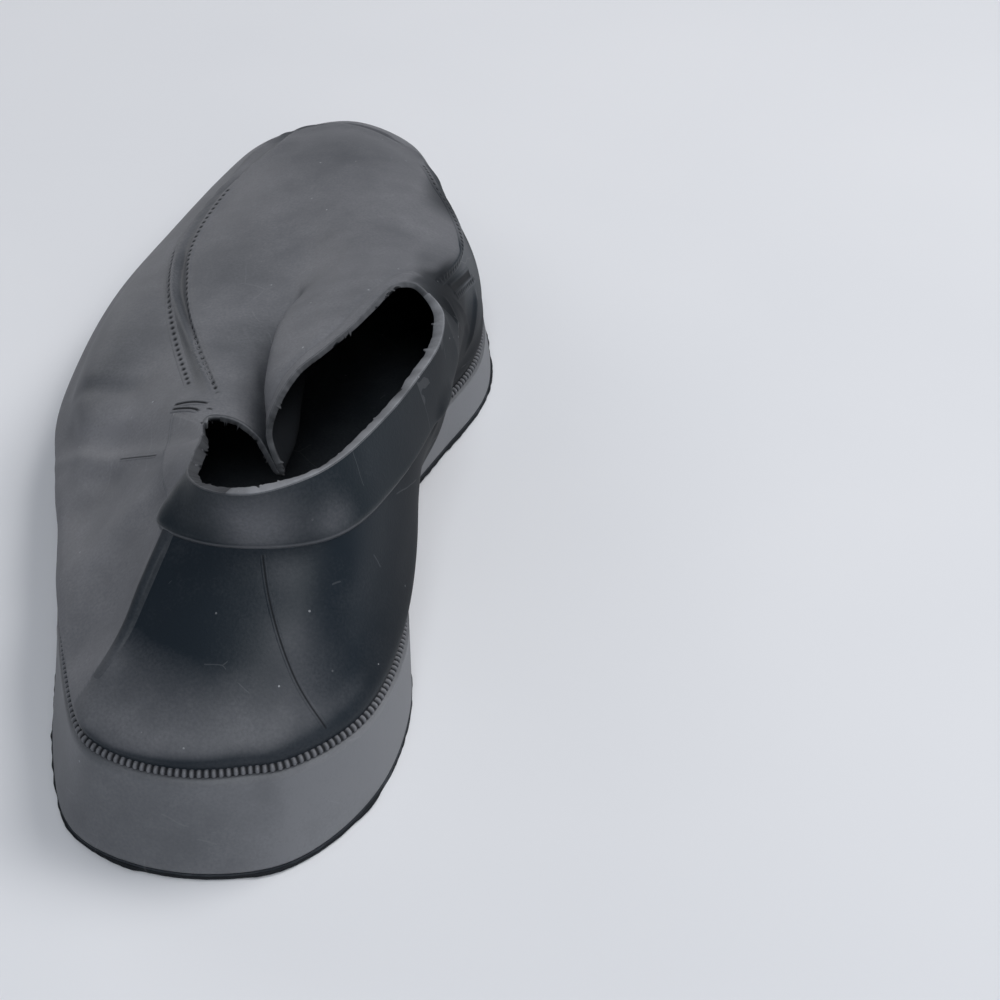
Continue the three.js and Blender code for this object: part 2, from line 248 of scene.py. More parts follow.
scratch_group, scratch_in, scratch_out = shader_group(
    "hairline_scratches",
    [
        ("Place", "Vector", None),
        ("Spread", "Float", 34.0),
        ("Width", "Float", 0.004),
        ("Share", "Float", 0.55),
    ],
    [("Scratches", "Float")],
)
wander = scratch_group.nodes.new("ShaderNodeVectorMath")
wander.operation = "MULTIPLY_ADD"
wander_noise = scratch_group.nodes.new("ShaderNodeTexNoise")
wander_noise.inputs["Scale"].default_value = WANDER_WAVES
scratch_group.links.new(scratch_in.outputs["Place"], wander_noise.inputs["Vector"])
scratch_group.links.new(wander_noise.outputs["Color"], wander.inputs[0])
wander.inputs[1].default_value = (WANDER_REACH, WANDER_REACH, WANDER_REACH)
scratch_group.links.new(scratch_in.outputs["Place"], wander.inputs[2])
webs = scratch_group.nodes.new("ShaderNodeTexVoronoi")
webs.feature = "DISTANCE_TO_EDGE"
scratch_group.links.new(wander.outputs[0], webs.inputs["Vector"])
scratch_group.links.new(scratch_in.outputs["Spread"], webs.inputs["Scale"])
on_web = maths(scratch_group, "LESS_THAN", webs.outputs["Distance"], scratch_in.outputs["Width"])
broken = noise(scratch_group, scratch_in.outputs["Place"], BREAK_WAVES, 1.0)
kept = maths(scratch_group, "GREATER_THAN", broken, scratch_in.outputs["Share"])
scratch_group.links.new(maths(scratch_group, "MULTIPLY", on_web, kept), scratch_out.inputs["Scratches"])

# %% Bloom and painted light, painted shade, and wear and painted highlights over a clean colour
CLOUD_SWING = 0.5
CLOUD_MIDDLE = 0.5
MOTTLE_SWING = 0.8
MOTTLE_MIDDLE = 0.25
CLEAN_SHARE = 0.25
SOOT_MATT = 0.35
ROUGHEST = 0.95

# Three layers over the clean colour: a pale one for bloom and painted light, a dark one for painted shade,
# and a light one for wear and painted highlights.
coat_group, coat_in, coat_out = shader_group(
    "worn_coat",
    [
        ("Clean", "Color", (0.02, 0.025, 0.03, 1)),
        ("Bloom Colour", "Color", (0.13, 0.14, 0.155, 1)),
        ("Soot Colour", "Color", (0.006, 0.007, 0.009, 1)),
        ("Wear Colour", "Color", (0.30, 0.31, 0.33, 1)),
        ("Bloom", "Float", 0.0),
        ("Soot", "Float", 0.0),
        ("Wear", "Float", 0.0),
        ("Cloud", "Float", 0.5),
        ("Mottle", "Float", 0.25),
        ("Clean Roughness", "Float", 0.4),
        ("Bloom Roughness", "Float", 0.6),
    ],
    [("Colour", "Color"), ("Roughness", "Float")],
)
coat = coat_in.outputs
cloud_part = maths(coat_group, "MULTIPLY_ADD", coat["Cloud"], CLOUD_SWING, -CLOUD_MIDDLE * CLOUD_SWING)
mottle_part = maths(coat_group, "MULTIPLY_ADD", coat["Mottle"], MOTTLE_SWING, -MOTTLE_MIDDLE * MOTTLE_SWING)
uneven = maths(coat_group, "ADD", cloud_part, mottle_part)
mottled = maths(coat_group, "MULTIPLY", uneven, maths(coat_group, "ADD", coat["Bloom"], CLEAN_SHARE))
bloom_share = maths(coat_group, "CLAMP", maths(coat_group, "ADD", coat["Bloom"], mottled))
bloomed = blend(coat_group, bloom_share, coat["Clean"], coat["Bloom Colour"])
sooty = blend(coat_group, coat["Soot"], bloomed, coat["Soot Colour"])
worn = blend(coat_group, coat["Wear"], sooty, coat["Wear Colour"])
coat_group.links.new(worn, coat_out.inputs["Colour"])
spread = coat_group.nodes.new("ShaderNodeMapRange")
coat_group.links.new(bloom_share, spread.inputs["Value"])
coat_group.links.new(coat["Clean Roughness"], spread.inputs["To Min"])
coat_group.links.new(coat["Bloom Roughness"], spread.inputs["To Max"])
matt = maths(coat_group, "MULTIPLY_ADD", coat["Soot"], SOOT_MATT, spread.outputs[0])
coat_group.links.new(maths(coat_group, "MINIMUM", matt, ROUGHEST), coat_out.inputs["Roughness"])
print("shader groups:", [group.name for group in bpy.data.node_groups])

# %% One rubber material
CLEAN_BLACK = (0.012, 0.018, 0.025, 1)
# The pale grey of bloom, used for painted light as well.
BLOOM_GREY = (0.178, 0.182, 0.198, 1)
FINE_SHARE = 0.5
SCUFF_SHARE = 0.10


def rubber(name, clean=CLEAN_BLACK, bloom=BLOOM_GREY, bloom_level=None, roughness=(0.40, 0.62),
           bump=0.00006, specks=0.35, scratches=0.60, ripple=1.0, gloss=0.16):
    """A rubber material. Without a bloom level, bloom and painted light, painted shade, and wear and painted
    highlights come from the mesh.
    """
    material = bpy.data.materials.new(name)
    material.use_nodes = True
    tree = material.node_tree
    shader = tree.nodes["Principled BSDF"]
    place = tree.nodes.new("ShaderNodeTexCoord").outputs["Object"]

    def placed(group, **values):
        node = tree.nodes.new("ShaderNodeGroup")
        node.node_tree = group
        for label, value in values.items():
            feed(tree, node.inputs[label.replace("_", " ")], value)
        return node

    def mesh_value(label):
        node = tree.nodes.new("ShaderNodeAttribute")
        node.attribute_name = label
        return node.outputs["Fac"]

    grain = placed(grain_group, Place=place, Fine=FINE_SHARE, Ripple=ripple)
    lint = placed(speck_group, Place=place, Share=specks)
    scratch = placed(scratch_group, Place=place, Share=scratches)
    scuffs = maths(tree, "MULTIPLY", scratch.outputs[0], SCUFF_SHARE)
    marks = maths(tree, "MAXIMUM", lint.outputs[0], scuffs)
    # The mesh's attributes bring bloom with painted light, painted shade, and wear with painted highlights.
    if bloom_level is None:
        bloom_value = mesh_value("bloom")
        soot_value = mesh_value("soot")
        wear_value = maths(tree, "CLAMP", maths(tree, "ADD", mesh_value("wear"), marks))
    else:
        bloom_value = bloom_level
        soot_value = 0.0
        wear_value = marks
    coat = placed(
        coat_group, Clean=clean, Bloom_Colour=bloom, Bloom=bloom_value, Soot=soot_value, Wear=wear_value,
        Cloud=grain.outputs["Cloud"], Mottle=grain.outputs["Mottle"],
        Clean_Roughness=roughness[0], Bloom_Roughness=roughness[1],
    )
    tree.links.new(coat.outputs["Colour"], shader.inputs["Base Color"])
    tree.links.new(coat.outputs["Roughness"], shader.inputs["Roughness"])
    shader.inputs["Specular IOR Level"].default_value = gloss
    relief = tree.nodes.new("ShaderNodeBump")
    relief.inputs["Distance"].default_value = bump
    relief.inputs["Strength"].default_value = 1.0
    tree.links.new(grain.outputs["Height"], relief.inputs["Height"])
    tree.links.new(relief.outputs["Normal"], shader.inputs["Normal"])
    return material


# %% The rubbers of the overshoe
upper_rubber = rubber("upper_rubber")
collar_rubber = rubber("collar_rubber", clean=(0.012, 0.018, 0.024, 1), specks=0.6, gloss=0.14)
foxing_rubber = rubber("foxing_rubber", bloom=(0.160, 0.166, 0.180, 1), specks=0.2, gloss=0.4)
welt_rubber = rubber("welt_rubber", specks=0.0, scratches=1.0)
sole_rubber = rubber("sole_rubber", bloom_level=0.15, roughness=(0.7, 0.8), bump=0.0002)
cut_rubber = rubber("cut_rubber", clean=(0.05, 0.053, 0.06, 1), bloom=(0.22, 0.23, 0.25, 1),
                    roughness=(0.55, 0.7), bump=0.00012, ripple=1.5, scratches=1.0)
print("materials:", [material.name for material in bpy.data.materials])

# %% Paper floor
PAPER_WAVES = 5.0
PAPER_ROUGHNESS = 0.9

paper = bpy.data.materials.new("paper")
paper.use_nodes = True
paper_tree = paper.node_tree
paper_shader = paper_tree.nodes["Principled BSDF"]
paper_place = paper_tree.nodes.new("ShaderNodeTexCoord").outputs["Object"]
paper_cloud = noise(paper_tree, paper_place, PAPER_WAVES, 3.0)
paper_colour = blend(paper_tree, paper_cloud, (0.70, 0.72, 0.76, 1), (0.80, 0.81, 0.84, 1))
paper_tree.links.new(paper_colour, paper_shader.inputs["Base Color"])
paper_shader.inputs["Roughness"].default_value = PAPER_ROUGHNESS
floor.data.materials.append(paper)

# %% [markdown]
# The CAD wall is a net of loose triangles. Under it lies a regular grid: rings that run round the shoe,
# one above the other, up the outer face, over the cut rim and down the inner face. Walking from ring
# to ring over the triangles finds that grid again, and a smooth spline surface through it gives as
# fine a wall as is wanted, without the facets.

# %% Find the rings of a CAD node
FOOT_HEIGHT = 0.02 * MM
SAME_SPOT = 1e-6


def rings_of(node):
    """The rings of a closed CAD wall as an array of rings, columns and coordinates, from its foot's
    outer edge up the outer face and down the inner face."""
    mesh = bmesh.new()
    mesh.from_mesh(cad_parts[node].data)
    bmesh.ops.remove_doubles(mesh, verts=mesh.verts, dist=SAME_SPOT)
    mesh.verts.ensure_lookup_table()
    low = min(vert.co.z for vert in mesh.verts) + FOOT_HEIGHT
    foot_faces = {face for face in mesh.faces if all(vert.co.z < low for vert in face.verts)}
    step = {}
    for edge in mesh.edges:
        flat = [face for face in edge.link_faces if face in foot_faces]
        if len(flat) == 1:
            for here, there in (edge.verts, reversed(edge.verts)):
                step.setdefault(here, []).append(there)
    outermost = min(step, key=lambda vert: vert.co.y)
    ring = [outermost, min(step[outermost], key=lambda vert: vert.co.x)]
    while True:
        following = next(vert for vert in step[ring[-1]] if vert is not ring[-2])
        if following is ring[0]:
            break
        ring.append(following)
    rings = [ring]
    passed = foot_faces
    for _ in range(len(mesh.verts) // len(ring) - 1):
        ring = rings[-1]
        above = []
        for here, there in zip(ring, ring[1:] + ring[:1]):
            edge = mesh.edges.get((here, there))
            face = next(face for face in edge.link_faces if face not in passed)
            above.append(next(vert for vert in face.verts if vert is not here and vert is not there))
        ahead = sum((vert.co - ring[(i + 1) % len(ring)].co).length for i, vert in enumerate(above))
        beside = sum((vert.co - ring[i].co).length for i, vert in enumerate(above))
        if ahead < beside:
            above = above[-1:] + above[:-1]
        passed.update(face for vert in ring for face in vert.link_faces)
        rings.append(above)
    points = np.array([[vert.co[:] for vert in ring] for ring in rings])
    mesh.free()
    return points


wall_rings = rings_of("upper")
RING_COUNT, COLUMN_COUNT = wall_rings.shape[:2]
OUTER_RINGS = RING_COUNT // 2
print("the wall has", RING_COUNT, "rings of", COLUMN_COUNT, "points")


# %% Spline surfaces through a grid
def spline_weights(count, places, closed):
    """Cubic spline weights of the grid's points, one row for each place along the grid."""
    weights = np.zeros((len(places), count))
    for row, place in enumerate(places):
        start = int(math.floor(place)) if closed else min(int(place), count - 2)
        f = place - start
        parts = ((1 - f) ** 3, 3 * f**3 - 6 * f**2 + 4, -3 * f**3 + 3 * f**2 + 3 * f + 1, f**3)
        for shift, part in zip((-1, 0, 1, 2), parts):
            index = start + shift
            if closed:
                weights[row, index % count] += part / 6
            elif index < 0:
                weights[row, 0] += part / 3
                weights[row, 1] -= part / 6
            elif index >= count:
                weights[row, -1] += part / 3
                weights[row, -2] -= part / 6
            else:
                weights[row, index] += part / 6
    return weights


def smooth_sheet(rings, ring_places, column_places):
    """Points of a smooth surface through rings, as an array of columns, rows and coordinates."""
    across = spline_weights(rings.shape[1], column_places, True)
    up = spline_weights(rings.shape[0], ring_places, False)
    return np.einsum("ca,rb,bak->crk", across, up, rings)


def sheet_normals(sheet):
    """Outward directions of a closed sheet of columns and rows."""
    around = np.roll(sheet, -1, axis=0) - np.roll(sheet, 1, axis=0)
    rise = np.gradient(sheet, axis=1)
    normals = np.cross(rise, around)
    return normals / np.linalg.norm(normals, axis=2, keepdims=True)


# %% Meshes from sheets of points
def sheet_faces(columns, rows, closed=True, tube=False):
    """Quads that join neighbouring columns and rows of a sheet. A tube's rows close on themselves."""
    faces = []
    for column in range(columns if closed else columns - 1):
        here = column * rows
        there = (column + 1) % columns * rows
        for row in range(rows if tube else rows - 1):
            above = (row + 1) % rows
            faces.append((here + row, here + above, there + above, there + row))
    if tube and not closed:
        faces.append(tuple(range(rows)))
        faces.append(tuple(range((columns - 1) * rows, columns * rows))[::-1])
    return faces


def new_piece(name, sheet, slot, material, replaced=(), closed=True, **values):
    """A smooth closed piece from a sheet whose rows close on themselves, riding with the overshoe.
    Each extra value becomes an attribute that its material reads."""
    columns, rows = sheet.shape[:2]
    mesh = bpy.data.meshes.new(name)
    mesh.from_pydata(sheet.reshape(-1, 3).tolist(), [], sheet_faces(columns, rows, closed, True))
    mesh.validate()
    piece = bpy.data.objects.new(name, mesh)
    bpy.context.scene.collection.objects.link(piece)
    bpy.ops.object.select_all(action="DESELECT")
    piece.select_set(True)
    bpy.context.view_layer.objects.active = piece
    bpy.ops.object.mode_set(mode="EDIT")
    bpy.ops.mesh.select_all(action="SELECT")
    bpy.ops.mesh.normals_make_consistent(inside=False)
    bpy.ops.object.mode_set(mode="OBJECT")
    bpy.ops.object.shade_smooth()
    mesh.materials.append(material)
    for label, numbers in values.items():
        attribute = mesh.attributes.new(label, "FLOAT", "POINT")
        attribute.data.foreach_set("value", np.ascontiguousarray(numbers, dtype=np.float32).ravel())
    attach(piece, "root")
    if replaced:
        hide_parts(*replaced)
    triangles = sum(len(face.vertices) - 2 for face in mesh.polygons)
    print(name, "has", triangles, "triangles")


# %% [markdown]
# The upper's skin is the spline surface, with a row of points about every half millimetre. Its soft
# folds and seams are then pressed into it: each is a line on the wall with a cross-section, and each
# point of the skin moves along its outward direction by the height of that section at its distance.

# %% The skin before its folds
FINE_PER_COLUMN = 6
FINE_PER_RING = 7

fine_columns = np.arange(COLUMN_COUNT * FINE_PER_COLUMN) / FINE_PER_COLUMN
fine_rings = np.linspace(0, OUTER_RINGS - 1, (OUTER_RINGS - 1) * FINE_PER_RING + 1)
smooth_skin = smooth_sheet(wall_rings[:OUTER_RINGS], fine_rings, fine_columns)
lining = smooth_sheet(wall_rings[OUTER_RINGS:], np.arange(OUTER_RINGS), fine_columns)
COLUMNS, SKIN_ROWS = smooth_skin.shape[:2]
smooth_out = sheet_normals(smooth_skin)


def sheet_tree(sheet):
    """A search tree over a closed sheet."""
    return BVHTree.FromPolygons(sheet.reshape(-1, 3).tolist(), sheet_faces(*sheet.shape[:2]))


smooth_tree = sheet_tree(smooth_skin)
print("the skin has", COLUMNS, "columns of", SKIN_ROWS, "points")

# %% Spots on the wall
SEARCH_NEAR = 0.35
SEARCH_STEP = 0.004
SEARCH_COUNT = 90


def wall_spot(mark, tree):
    """The wall's spot that shows at a picture point, or the one nearest to a place in millimetres."""
    if len(mark) == 3:
        return tree.find_nearest(Vector(mark) * MM)[0]
    direction = picture_ray(*mark)
    hit = tree.ray_cast(CAMERA_SPOT, direction)[0]
    if hit is None:
        places = [CAMERA_SPOT + direction * (SEARCH_NEAR + SEARCH_STEP * i) for i in range(SEARCH_COUNT)]
        hit = min((tree.find_nearest(place) for place in places), key=lambda found: found[3])[0]
    return hit


def spot_glow(points, mark, radius, tree):
    """A soft round patch about a spot on the wall, 1 on its middle."""
    spot = np.array(wall_spot(mark, tree))
    return np.exp(-((np.linalg.norm(points - spot, axis=-1) / radius) ** 2))


# %% Lines on the wall
CURVE_STEPS = 12


def way_along(points):
    """The length of the way to each point of a line."""
    return np.concatenate([[0], np.cumsum(np.linalg.norm(np.diff(points, axis=0), axis=1))])


def read_line(points, places, along):
    """The points of a line at new places along it."""
    return np.stack([np.interp(places, along, points[:, axis]) for axis in range(3)], axis=1)


def wall_line(marks, tree, step):
    """An even smooth line on the wall through marks, and the wall's outward directions on it."""
    knots = np.array([wall_spot(mark, tree) for mark in marks])
    places = np.linspace(0, len(knots) - 1, len(knots) * CURVE_STEPS)
    rough = spline_weights(len(knots), places, False) @ knots
    along = way_along(rough)
    even = read_line(rough, np.linspace(0, along[-1], max(int(along[-1] / step) + 1, 3)), along)
    found = [tree.find_nearest(Vector(point)) for point in even]
    return np.array([spot[0] for spot in found]), np.array([spot[1] for spot in found])


def near_line(points, outward, line):
    """Distance of points to a line, positive to its right, and the share of the way along it."""
    ways = line[1:] - line[:-1]
    offsets = points[:, None] - line[None, :-1]
    shares = np.clip((offsets * ways).sum(axis=2) / (ways**2).sum(axis=1), 0, 1)
    offsets = offsets - shares[:, :, None] * ways
    distances = np.linalg.norm(offsets, axis=2)
    best = distances.argmin(axis=1)
    index = np.arange(len(points))
    right = (np.cross(offsets[index, best], ways[best]) * outward).sum(axis=1)
    return distances[index, best] * np.sign(right), (best + shares[index, best]) / len(ways)


# %% Folds pressed into the skin
LINE_STEP = 2.5 * MM
FOLD_LIMIT = 3.2
STEP_SHARPNESS = 3
STEP_TAIL = 2.5


def eased(values):
    """Values kept between 0 and 1, with soft starts and ends."""
    values = np.clip(values, 0, 1)
    return values * values * (3 - 2 * values)


def ridge(distance, width):
    """A soft ridge, or a valley where its height is negative."""
    return np.exp(-((distance / width) ** 2))


def step(distance, width):
    """A soft step, high to the right of the line, that dies away on both sides."""
    rise = 0.5 * (1 + np.tanh(distance / width * STEP_SHARPNESS))
    return rise * np.exp(-((distance / width / STEP_TAIL) ** 2))


def pressed(points, outward, folds):
    """How far each point moves out for a table of folds."""
    push = np.zeros(len(points))
    for name, shape, width, height, fade, marks in folds:
        line, _ = wall_line(marks, smooth_tree, LINE_STEP)
        reach = width * MM * FOLD_LIMIT
        low = line.min(axis=0) - reach
        high = line.max(axis=0) + reach
        near = np.flatnonzero(((points > low) & (points < high)).all(axis=1))
        distance, share = near_line(points[near], outward[near], line)
        push[near] += shape(distance, width * MM) * height * MM * eased(np.minimum(share, 1 - share) / fade)
        print(name, "is", round(way_along(line)[-1] / MM), "mm long")
    return push


# %% [markdown]
# The apron over the toes copies a hand-sewn moccasin: its edge stands a little proud, a pinched seam
# runs outside it with a valley between them, and rows of stitch dimples follow both. The outer quarter
# has sunk into shallow creases and swells, and the inner side has wrinkled below its slot. Marks are
# picture points, and the hidden part round the toe is given in millimetres.

# %% Marks of the seams and slots
APRON_EDGE = [
    (219, 396), (212, 381), (203, 359), (198, 348), (191, 321), (188, 304), (187, 282), (188, 259),
    (193, 243), (199, 231), (206, 219), (224, 194), (239, 180), (262, 160), (284, 144),
    (-8.4, 106, 33), (5.6, 114, 31.5), (17.6, 105, 33),
    (396, 145), (412, 155), (425, 168), (433, 185), (445, 200), (455, 220), (462, 238), (461, 258),
    (451, 272), (437, 283),
]
PINCHED_SEAM = [
    (214, 398), (206, 382), (200, 366), (194, 350), (186, 330), (179, 312), (174, 297), (172, 284),
    (176, 266), (181, 247), (188, 231),
    (-13.1, 103.8, 32.0), (5.6, 118.9, 29.5), (20.8, 107.3, 31.7), (34.1, 87.9, 33.5), (41.5, 67.9, 34.9),
]
SEAM_VALLEY = [(x + 6, y) for x, y in PINCHED_SEAM[:10]]
HEEL_STRIP = [(192, 471), (180, 500), (167, 531), (153, 565), (139, 600), (124, 632), (106, 662), (88, 690)]
THROAT_LEDGE = [
    (428, 282), (416, 273), (400, 270), (376, 285), (349, 315), (323, 340), (296, 360), (278, 379),
    (270, 406), (270, 424),
]
QUARTER_CREASE = [(60, 464), (90, 461), (120, 458), (158, 453), (204, 445)]
OUTER_SLOTS = [
    [(172, 405.5), (185, 403.5), (197, 402.5), (211, 403.5)],
    [(170, 410), (183, 409), (195, 409), (201, 412)],
    [(203, 409), (209, 409), (216, 410)],
]

# %% Folds of the upper
FOLDS = [
    # name                  shape  width height fade  marks
    ("apron edge",          step,  1.6,  1.1,   0.03, APRON_EDGE),
    ("pinched seam",        ridge, 1.15, 1.2,   0.06, PINCHED_SEAM),
    ("seam valley",         ridge, 1.0,  -0.7,  0.10, SEAM_VALLEY),
    ("heel strip bed",      ridge, 4.0,  0.5,   0.10, HEEL_STRIP),
    ("throat ledge",        ridge, 1.0,  -0.5,  0.12, THROAT_LEDGE),
    ("outer slot bed",      ridge, 1.5,  -0.25, 0.15, OUTER_SLOTS[0]),
    ("quarter crease",      ridge, 2.4,  0.5,   0.12, QUARTER_CREASE),
    ("quarter swell",       ridge, 4.6,  0.8,   0.30, [(74, 424), (110, 424), (150, 420)]),
    ("quarter upper fold",  ridge, 3.2,  -0.8,  0.25, [(70, 396), (105, 390), (150, 386)]),
    ("quarter mid hollow",  ridge, 3.4,  -0.6,  0.30, [(72, 478), (104, 484), (136, 470)]),
    ("quarter slant",       ridge, 5.5,  0.8,   0.30, [(162, 476), (132, 508), (104, 545), (84, 590)]),
    ("quarter low hollow",  ridge, 5.5,  -0.8,  0.35, [(72, 490), (84, 520), (80, 570)]),
    ("inner wrinkle",       ridge, 0.9,  0.5,   0.30, [(442, 294), (450, 310), (459, 331)]),
    ("inner long wrinkle",  ridge, 1.0,  0.5,   0.30, [(449, 293), (458, 307), (466, 322), (470, 338)]),
    ("inner fold",          ridge, 1.2,  0.8,   0.30, [(475, 286), (475, 305), (470, 336), (463, 358)]),
    ("inner bulge",         ridge, 2.6,  1.0,   0.30, [(448, 390), (440, 402), (434, 419), (431, 440)]),
]
push = pressed(smooth_skin.reshape(-1, 3), smooth_out.reshape(-1, 3), FOLDS).reshape(COLUMNS, SKIN_ROWS)
print("the folds move the skin by", round(push.min() / MM, 2), "to", round(push.max() / MM, 2), "mm")

# %% [markdown]
# The soft wall doesn't rise straight from the bead. It has sagged and bulges over it, most on the outer
# side. The bulge is a level push, strongest a little above the wall's seat, so the bead tucks in under
# the wall.

# %% Bulge over the bead
LOW_BULGE = 1.4 * MM
SIDE_BULGE = 2.0 * MM
BULGE_ABOVE_SEAT = 2.4 * MM
BULGE_SPAN = 4.0 * MM
SIDE_MIDDLE = -20 * MM
SIDE_SPAN = 85 * MM
SEAT_ROW = 2 * FINE_PER_RING

level_out = smooth_out * np.array([1, 1, 0])
level_out /= np.linalg.norm(level_out, axis=2, keepdims=True) + 1e-6
above_seat = smooth_skin[:, :, 2] - smooth_skin[:, SEAT_ROW, 2][:, None]
along_side = np.exp(-(((smooth_skin[:, :, 1] - SIDE_MIDDLE) / SIDE_SPAN) ** 4))
outer_side = np.clip(-level_out[:, :, 0], 0, 1) * along_side
bulge = ridge(above_seat - BULGE_ABOVE_SEAT, BULGE_SPAN) * (LOW_BULGE + SIDE_BULGE * outer_side)
skin = smooth_skin + smooth_out * push[:, :, None] + level_out * bulge[:, :, None]
skin_out = sheet_normals(skin)
skin_tree = sheet_tree(skin)
print("the wall bulges by up to", round(bulge.max() / MM, 1), "mm")

# %% [markdown]
# Bloom gathers where the rubber looks up and outward and nothing rubs it, and the faces that look up
# and to the outer side, towards the lamp behind on the left, also get painted light, so one direction
# tells most of it: a face is paler in the measure that it looks that way. Painted shade then darkens
# two places, the back of the heel behind the folded strip, and the inner side. A few wide soft patches
# of painted highlight, painted shade and dust make the rest uneven. All of it is worked out for each
# point of the mesh, because a shader doesn't know where the strip or the slot lies.

# %% Where bloom and painted light gather
BLOOM_WAY = np.array([-0.45, 0.25, 0.85]) / np.linalg.norm([-0.45, 0.25, 0.85])
BLOOM_FROM = 0.10
BLOOM_FULL = 0.62


def share_between(values, start, end):
    """How far values have come from a start to an end, between 0 and 1."""
    return np.clip((values - start) / (end - start), 0, 1)


def bloom_on(outward):
    """The share of bloom and painted light on faces with these outward directions."""
    return eased(share_between(outward @ BLOOM_WAY, BLOOM_FROM, BLOOM_FULL))


# %% Painted shade on the heel's back
HEEL_FROM = -50 * MM
HEEL_FULL = -62 * MM
STRIP_EDGE = 0.4 * MM
EDGE_SOFTNESS = 0.5 * MM
RUBBED_FROM = 26 * MM
RUBBED_FULL = 42 * MM
RUBBED_LEAST = 0.35

heel_strip_line, _ = wall_line(HEEL_STRIP, smooth_tree, LINE_STEP)


def rubbed_heel(points, outward, edge=STRIP_EDGE):
    """The share of bloom and painted light that is left on the heel. Right of the heel strip its back is
    darkened as painted shade, less so low down near the bead.
    """
    flat_points = points.reshape(-1, 3)
    left = np.ones(len(flat_points))
    heel = np.flatnonzero(flat_points[:, 1] < HEEL_FROM)
    distance, _ = near_line(flat_points[heel], outward.reshape(-1, 3)[heel], heel_strip_line)
    behind = share_between(flat_points[heel, 1], HEEL_FROM, HEEL_FULL)
    # Painted shade: right of the strip the heel's back loses its bloom and light, less so near the bead.
    clean = 0.5 * (1 + np.tanh((-distance - edge) / EDGE_SOFTNESS))
    high = np.maximum(share_between(flat_points[heel, 2], RUBBED_FROM, RUBBED_FULL), RUBBED_LEAST)
    left[heel] = 1 - behind * clean * high
    return left.reshape(points.shape[:-1])


# %% Painted shade on the inner side
INNER_FROM = 0.22
INNER_FULL = 0.48
INNER_REACH = (78 * MM, 105 * MM)
INNER_SIDE = (34 * MM, 46 * MM)
SLOT_MARK = (452, 240)
SLOT_CLEAR = 21 * MM
slot_spot = np.array(wall_spot(SLOT_MARK, smooth_tree))


def rubbed_inner(points, outward):
    """The share of bloom and painted light that is left on the inner side, which is darkened as painted
    shade, except round the slot.
    """
    inner = share_between(outward[..., 0], INNER_FROM, INNER_FULL)
    reach = 1 - share_between(points[..., 1], *INNER_REACH)
    side = share_between(points[..., 0], *INNER_SIDE)
    from_slot = np.linalg.norm(points - slot_spot, axis=-1)
    return 1 - inner * reach * side * (1 - np.exp(-((from_slot / SLOT_CLEAR) ** 4)))


# %% Soft patches of painted light, painted shade and dust
# Painted highlights and painted shade, with some uneven dust: the light and dark of the outer quarter's
# folds, a band of highlight down the heel, a darker toe and a dark inner side.
PATCHES = [
    # where       radius share
    ((90, 388),   9.0,  -0.30),
    ((120, 360),  9.0,  -0.10),
    ((125, 428),  7.5,   0.22),
    ((85, 428),   6.0,   0.12),
    ((100, 492),  7.0,  -0.12),
    ((140, 500),  5.0,   0.12),
    ((92, 560),   6.5,   0.16),
    ((76, 640),   5.0,  -0.10),
    ((112, 660),  4.0,   0.25),
    ((130, 330),  14.0, -0.20),
    ((190, 215),  12.0, -0.12),
    ((228, 270),  13.0, -0.24),
    ((250, 350),  10.0, -0.12),
    ((340, 150),  24.0, -0.22),
    ((310, 275),  10.0,  0.10),
    ((300, 345),  8.0,   0.12),
    ((425, 225),  9.0,   0.12),
    ((262, 330),  7.0,  -0.12),
    ((282, 575),  5.0,   0.10),
    ((293, 640),  6.0,   0.20),
    ((300, 700),  8.0,   0.22),
    ((240, 735),  9.0,   0.12),
    ((130, 720),  8.0,   0.10),
    ((479, 318),  8.0,  -0.70),
    ((468, 350),  9.0,  -0.70),
    ((450, 400),  10.0, -0.70),
]
EVEN_BLOOM = 0.76


def bloom_at(points, outward, edge=STRIP_EDGE):
    """All that decides the bloom, painted light and painted shade at points of the wall."""
    left = rubbed_heel(points, outward, edge) * rubbed_inner(points, outward)
    bloom = EVEN_BLOOM * bloom_on(outward) * left
    for mark, radius, share in PATCHES:
        bloom = bloom + share * spot_glow(points, mark, radius * MM, smooth_tree)
    return np.clip(bloom, 0, 1)


# %% [markdown]
# Painted shade darkens the corners beside a seam and the toe's wall outside the apron, and a painted
# highlight lightens the pinched seam's crest. Each is a thin soft line beside the same marks that
# shaped the seam. Then the skin and its lining become one closed piece, which stands for the CAD wall.

# %% Painted shade and painted highlights beside the seams
LINE_ENDS = 0.05
LINE_REACH = 4


def line_shade(marks, strength, middle, width):
    """A soft line on the skin beside marks. The middle is its distance from them in millimetres."""
    line, _ = wall_line(marks, smooth_tree, LINE_STEP)
    reach = (LINE_REACH * width + abs(middle)) * MM
    near = ((skin > line.min(axis=0) - reach) & (skin < line.max(axis=0) + reach)).all(axis=-1)
    distance, share = near_line(skin[near], skin_out[near], line)
    ends = np.clip(np.minimum(share, 1 - share) / LINE_ENDS, 0, 1)
    shade = np.zeros(skin.shape[:-1])
    shade[near] = strength * ridge(distance - middle * MM, width * MM) * ends
    return shade


apron_dark = line_shade(APRON_EDGE, strength=0.42, middle=-2.2, width=1.7)
seam_dark = line_shade(PINCHED_SEAM, strength=0.25, middle=-1.8, width=0.8)
seam_pale = line_shade(PINCHED_SEAM[6:], strength=0.22, middle=0, width=0.5)
print("shaded points beside the seams:", int((apron_dark + seam_dark > 0.1).sum()))

# %% Upper
# Painted shade: the inner side is darkened, and the lining inside the opening most.
INNER_SOOT = 0.85
LINING_SOOT = 0.9

